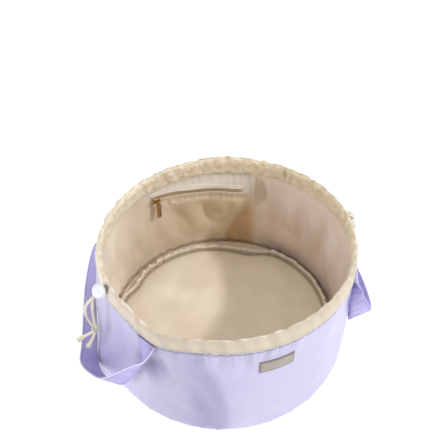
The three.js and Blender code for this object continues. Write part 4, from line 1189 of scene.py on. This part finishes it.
def build_zip():
    angle = np.linspace(ZIP_START, ZIP_END, 220)[:, None]
    section = np.array([
        (-7.0, -0.2), (-6.8, 0.5), (-6.2, 0.8), (-5.2, 0.65), (-4.2, 0.9), (-3.2, 1.25), (-2.6, 1.2), (-2.25, 0.7),
        (-2.1, 0.25), (0, 0.2), (2.1, 0.25), (2.3, 0.8), (2.3, 1.3), (2.9, 1.6), (3.8, 1.3), (4.8, 0.9), (5.6, 0.65),
        (6.4, 0.75), (6.9, 0.4), (7.1, -0.2),
    ])
    pucker = 0.18 * drift(angle * 2.1, section[None, :, 0] * 0.5, 7, 10, 81)
    height = zip_height(angle) + section[None, :, 0]
    ends = between(angle, ZIP_START, 0.7, ZIP_END, 0.7)
    lift = (section[None, :, 1] + pucker * (section[None, :, 1] > 0.3)) * ends - 0.3 * (1 - ends)
    points = polar(angle, dressed_lining(angle, height) - lift, height)
    back = polar(angle, dressed_lining(angle, height[:, ::-1]) + 0.4, height[:, ::-1])
    points = np.concatenate([points, back], axis=1)
    count = points.shape[1]
    drop = section[:, 0]
    # Painted shadow in the slot, under each lip of the welt.
    slot_shadow = bell(drop, 2.15, 0.25) * 0.34 + 0.2 * bell(drop, -2.15, 0.2) + 0.06 * (np.abs(drop) < 2)
    tint = np.ones((len(angle), count, 3))
    tint[:, :len(section)] *= (1 - slot_shadow)[None, :, None]
    # The lower welt carries the same painted shade as the lining over the pocket; the upper welt takes the pale panel's
    # tone.
    upper = smoothstep((section[:, 0] - 2.9) / 1.0)[:, None]
    welt = np.array([0.87, 0.84, 0.78]) * (1 - upper) + np.array([0.88, 0.94, 1.04]) * upper
    tint[:, :len(section)] *= welt[None]
    faces = sleeve_faces(len(angle), count)
    loop = np.concatenate([section[:, 0], 14 - section[::-1, 0]])
    uv = grid_uv(angle[:, 0] * 2.1, loop)
    put("zip_welt", points, faces, beige, slot="lining_cloth", uv=uv, tint=tint, replaces=["zip_tape"])

    pile = Pile()
    for drop, out in ((-5.2, 0.75), (4.8, 1.0)):
        line_angle = np.linspace(57.2, 107, 120)
        level = zip_height(line_angle) + drop
        line = polar(line_angle, dressed_lining(line_angle, level) - out, level)
        stitches(pile, line, polar(line_angle, -1, 0), spacing=2.6, length=1.8, radius=0.2)
    end_level = np.linspace(-5.2, 4.8, 20)
    end_angle = np.full(20, 57.2)
    line = polar(end_angle, dressed_lining(end_angle, zip_height(end_angle) + end_level) - 0.95,
                 zip_height(end_angle) + end_level)
    stitches(pile, line, polar(end_angle, -1, 0), spacing=2.6, length=1.8, radius=0.2)
    pile.put("zip_stitches", thread, slot="lining_cloth")

    coil = Pile()
    teeth = np.arange(58.0, 103.2, 0.62)
    for number, place in enumerate(teeth):
        shift = 0.25 if number % 2 else -0.25
        level = zip_height(place) + shift + np.array([-1.75, -0.6, 0.6, 1.75])
        depth = np.array([0.35, 1.15, 1.15, 0.35])
        line = polar(np.full(4, place), dressed_lining(np.full(4, place), level) - depth, level)
        coil.add(*tube(line, 0.42, sides=6, step=0.9))
    coil.put("zip_teeth", pale_brass, slot="zip_brass", replaces=["zip_coil"])


def add_plate(pile, outline, corner, half_depth, bevel, steps=5, middle=0.0):
    verts, faces = plate(rounded_loop(outline, corner, steps), middle - half_depth, middle + half_depth, bevel)
    pile.add(at_slider(verts), faces)


def add_bar(pile, points, radius, sides, step):
    pile.add(*tube(at_slider(points), radius, sides=sides, step=step)[:2])


def mirrored(points):
    """A loop of (x, z) points, closed by their mirror image across z = 0."""
    return points + [(x, -z) for x, z in points[::-1]]


def build_slider():
    body = Pile()
    add_plate(body, [(-4.2, -2.6)] + mirrored([(-4.2, 2.6), (-1, 3.4), (3.4, 3.5), (4.3, 1.2)])[:-1], 0.8, 0.6, 0.35,
              middle=-3.7)
    add_plate(body, [(-3.6, -2.2)] + mirrored([(-3.6, 2.2), (-0.8, 2.9), (3.0, 3.0), (3.8, 1.0)])[:-1], 0.8, 0.45, 0.3,
              middle=-2.65)
    for end in (-1, 1):
        arch = [(3.3, -2.4), (3.3, -1.2), (3.1, -0.3), (2.4, 0), (1.0, 0), (0, 0)]
        add_bar(body, spline([(end * x, y, 0) for x, y in arch]), 0.7, 14, 0.25)
    body.put("slider_body", brass, slot="zip_brass", replaces=["zip_slider"])

    pull = Pile()
    phi = np.linspace(0, 2 * math.pi, 40)
    add_bar(pull, np.stack([np.zeros(40), 1.55 * np.cos(phi), 1.55 * np.sin(phi)], axis=1), 0.44, 12, 0.2)
    tab = [(-1.3, -1.4), (1.3, -1.4), (2.9, -4.2), (2.9, -24.0), (-2.9, -24.0), (-2.9, -4.2)]
    add_plate(pull, tab, 1.3, 0.5, 0.3, 7)
    add_plate(pull, [(-1.9, -9.0), (1.9, -9.0), (1.9, -22.6), (-1.9, -22.6)], 1.2, 0.62, 0.15, 7)
    for level in (-5.6, -7.0):
        add_bar(pull, [(-2.2, 0.5, level), (2.2, 0.5, level)], 0.25, 8, 0.5)
    pull.put("pull_tab", brass, slot="zip_brass", body="pull", replaces=["zip_pull"])


build_zip()
build_slider()

# ---------------------------------------------------------------- label
def build_label():
    middle = rim_height(-90) - 39 - LABEL_HALF_HEIGHT
    spread = math.degrees(LABEL_HALF_WIDTH / BASE_RADIUS)
    across = np.linspace(-1, 1, 73)
    up = np.linspace(-1, 1, 41)
    angle = -90 + spread * across[:, None]
    height = middle + LABEL_HALF_HEIGHT * up[None, :]
    edge_x = (1 - np.abs(across)) * LABEL_HALF_WIDTH
    edge_y = (1 - np.abs(up)) * LABEL_HALF_HEIGHT
    edge = np.minimum(edge_x[:, None], edge_y[None, :])
    rise = 0.25 + 0.75 * smoothstep(edge / 0.6) - 0.22 * bell(edge, 1.7, 0.35) \
        + 0.05 * drift(across[:, None] * LABEL_HALF_WIDTH, up[None, :] * LABEL_HALF_HEIGHT, 5, 10, 91)
    front = polar(angle, dressed_wall(angle, height) + 0.2 + rise, height)
    back = polar(angle, dressed_wall(angle, height[:, ::-1]) - 0.2, np.broadcast_to(height[:, ::-1], front.shape[:2]))
    points = np.concatenate([front, back], axis=1)
    count = points.shape[1]
    faces = sleeve_faces(len(across), count)
    rim = 1 - 0.42 * falling(edge, 1.5, 0.5)
    tint = np.ones((len(across), count, 3))
    tint[:, :len(up)] = rim[..., None]
    uv = grid_uv(across * LABEL_HALF_WIDTH, np.concatenate([up * LABEL_HALF_HEIGHT, 20 + up * LABEL_HALF_HEIGHT]))
    put("label_cloth", points, faces, taupe, slot="label_cloth", uv=uv, tint=tint, replaces=["label_patch"])
    pile = Pile()
    path = [(-16.6, -7.1), (16.6, -7.1), (16.6, 7.1), (-16.6, 7.1), (-16.6, -7.1)]
    for start, end in zip(path[:-1], path[1:]):
        t = np.linspace(0, 1, 30)
        x = start[0] + (end[0] - start[0]) * t
        y = start[1] + (end[1] - start[1]) * t
        a = -90 + np.degrees(x / BASE_RADIUS)
        line = polar(a, dressed_wall(a, middle + y) + 1.0, middle + y)
        stitches(pile, line, polar(a, 1, 0), spacing=1.9, length=1.3, radius=0.2, lift=0.1)
    pile.put("label_stitches", border, slot="label_cloth")


build_label()

# ---------------------------------------------------------------- flap
FLAP_HALF = 45
FLAP_STRAIGHT = 59
FLAP_LENGTH = 104


def flap_point(across, down, lift):
    angle = 90 + np.degrees(across / BASE_RADIUS)
    height = seam_height(angle) - SEAM_GAP - down
    hang = np.maximum(0, (seam_height(90) - height) / FLAP_LENGTH)
    return polar(angle, wall_radius(angle, height) + SEAM_GAP + 3 * hang + lift, height)


def build_flap():
    half = FLAP_HALF - 2.8
    across = half * np.sin(np.linspace(-0.5, 0.5, 71) * math.pi * 0.985)
    share = np.linspace(-0.01, 1, 60)
    reach = FLAP_STRAIGHT + np.sqrt(half * half - across * across)
    x = np.broadcast_to(across[:, None], (len(across), len(share)))
    down = share[None, :] * reach[:, None]
    soft = 0.3 * drift(x, down, 24, 12, 101) + 0.12 * drift(x, down, 9, 12, 102)
    edge = np.minimum(half - np.abs(x), reach[:, None] - down)
    puff = 0.55 * smoothstep(edge / 10)
    near = flap_point(x, down, 0.3 + 0 * x)
    far = flap_point(x, down, 1.7 + soft * smoothstep(edge / 3) + puff)
    points = np.concatenate([far, near[:, ::-1]], axis=1)
    count = points.shape[1]
    faces = sleeve_faces(len(across), count)
    uv = np.stack([np.concatenate([x, x + 100], axis=1), np.concatenate([down, down[:, ::-1]], axis=1)], axis=-1)
    flap = put("flap_cloth", points, faces, lilac, slot="outer_cloth", uv=uv,
               replaces=["flap"])
    stations = []
    for t in np.linspace(0, 1, 40):
        stations.append((-1.0, 0.0, -FLAP_HALF, FLAP_STRAIGHT * t))
    for turn in np.linspace(math.pi, 2 * math.pi, 100)[1:-1]:
        x, y = math.cos(turn), -math.sin(turn)
        stations.append((x, y, FLAP_HALF * x, FLAP_STRAIGHT + FLAP_HALF * y))
    for t in np.linspace(1, 0, 40):
        stations.append((1.0, 0.0, FLAP_HALF, FLAP_STRAIGHT * t))
    stations = np.array(stations)
    phi = np.linspace(0, 2 * math.pi, 20, endpoint=False)
    inward = 2.45 + 2.45 * np.sign(np.cos(phi)) * np.abs(np.cos(phi)) ** 0.6
    lift = 1.45 + 1.45 * np.sign(np.sin(phi)) * np.abs(np.sin(phi)) ** 0.6
    along = np.concatenate([[0], np.cumsum(np.hypot(np.diff(stations[:, 2]), np.diff(stations[:, 3])))])
    pucker = 1 + 0.06 * np.sin(along * 2.1)[:, None]
    x = stations[:, 2:3] - stations[:, 0:1] * inward[None, :] * pucker
    y = stations[:, 3:4] - stations[:, 1:2] * inward[None, :] * pucker
    points = flap_point(x, y, np.broadcast_to(lift[None, :], x.shape))
    faces = sleeve_faces(len(stations), 20)
    uv = grid_uv(along, phi * 1.6)
    trim = put("flap_trim", points, faces, cream, slot="casing_cloth", uv=uv,
               replaces=["flap_binding"])
    pile = Pile()
    x = stations[:, 2] - stations[:, 0] * 4.2
    y = stations[:, 3] - stations[:, 1] * 4.2
    line = flap_point(x, y, np.full(len(x), 2.95))
    away_from_wall = line * np.array([1, 1, 0])
    stitches(pile, line, away_from_wall, spacing=2.9, length=2.0, radius=0.24)
    sewn = pile.put("flap_stitches", thread, slot="casing_cloth")


build_flap()

# ---------------------------------------------------------------- studio
def build_stage():
    mesh = bpy.data.meshes.new("floor")
    mesh.from_pydata([(-4, -4, -0.0003), (4, -4, -0.0003), (4, 4, -0.0003), (-4, 4, -0.0003)], [], [(0, 1, 2, 3)])
    ground = bpy.data.objects.new("floor", mesh)
    bpy.context.scene.collection.objects.link(ground)
    made = bpy.data.materials.new("studio_floor")
    made.use_nodes = True
    shader = made.node_tree.nodes["Principled BSDF"]
    shader.inputs["Base Color"].default_value = (0.50, 0.50, 0.50, 1)
    shader.inputs["Roughness"].default_value = 0.9
    shader.inputs["Specular IOR Level"].default_value = 0.1
    shader.inputs["Emission Color"].default_value = (1, 1, 1, 1)
    shader.inputs["Emission Strength"].default_value = 0.86
    mesh.materials.append(made)


def area_light(name, azimuth, elevation, distance, size, power, colour):
    data = bpy.data.lights.new(name, "AREA")
    data.shape = "DISK"
    data.size = size
    data.energy = power
    data.color = colour
    lamp = bpy.data.objects.new(name, data)
    bpy.context.scene.collection.objects.link(lamp)
    a, e = math.radians(azimuth), math.radians(elevation)
    lamp.location = (distance * math.cos(e) * math.cos(a), distance * math.cos(e) * math.sin(a), distance * math.sin(e))
    lamp.rotation_mode = "QUATERNION"
    lamp.rotation_quaternion = (Vector((0, 0, 0.08)) - Vector(lamp.location)).to_track_quat("-Z", "Y")


build_stage()
# Name, azimuth, elevation, distance, size, power, colour
LIGHTS = [
    ("key", -41, 46.8, 2.2, 0.14, 20.5, (1.0, 0.985, 0.96)), ("side", -50, 12, 2.2, 0.8, 5, (1.0, 0.99, 0.98)),
    ("fill", 188, 18, 2.4, 1.2, 17, (0.98, 0.97, 1.0)), ("top", 90, 82, 2.2, 1.2, 7.5, (1.0, 0.99, 0.98)),
]
for light in LIGHTS:
    area_light(*light)
world = bpy.data.worlds.new("studio")
world.use_nodes = True
world.node_tree.nodes["Background"].inputs["Color"].default_value = (1, 0.99, 1, 1)
world.node_tree.nodes["Background"].inputs["Strength"].default_value = 0.55
bpy.context.scene.world = world
bpy.context.scene.view_settings.view_transform = "Standard"
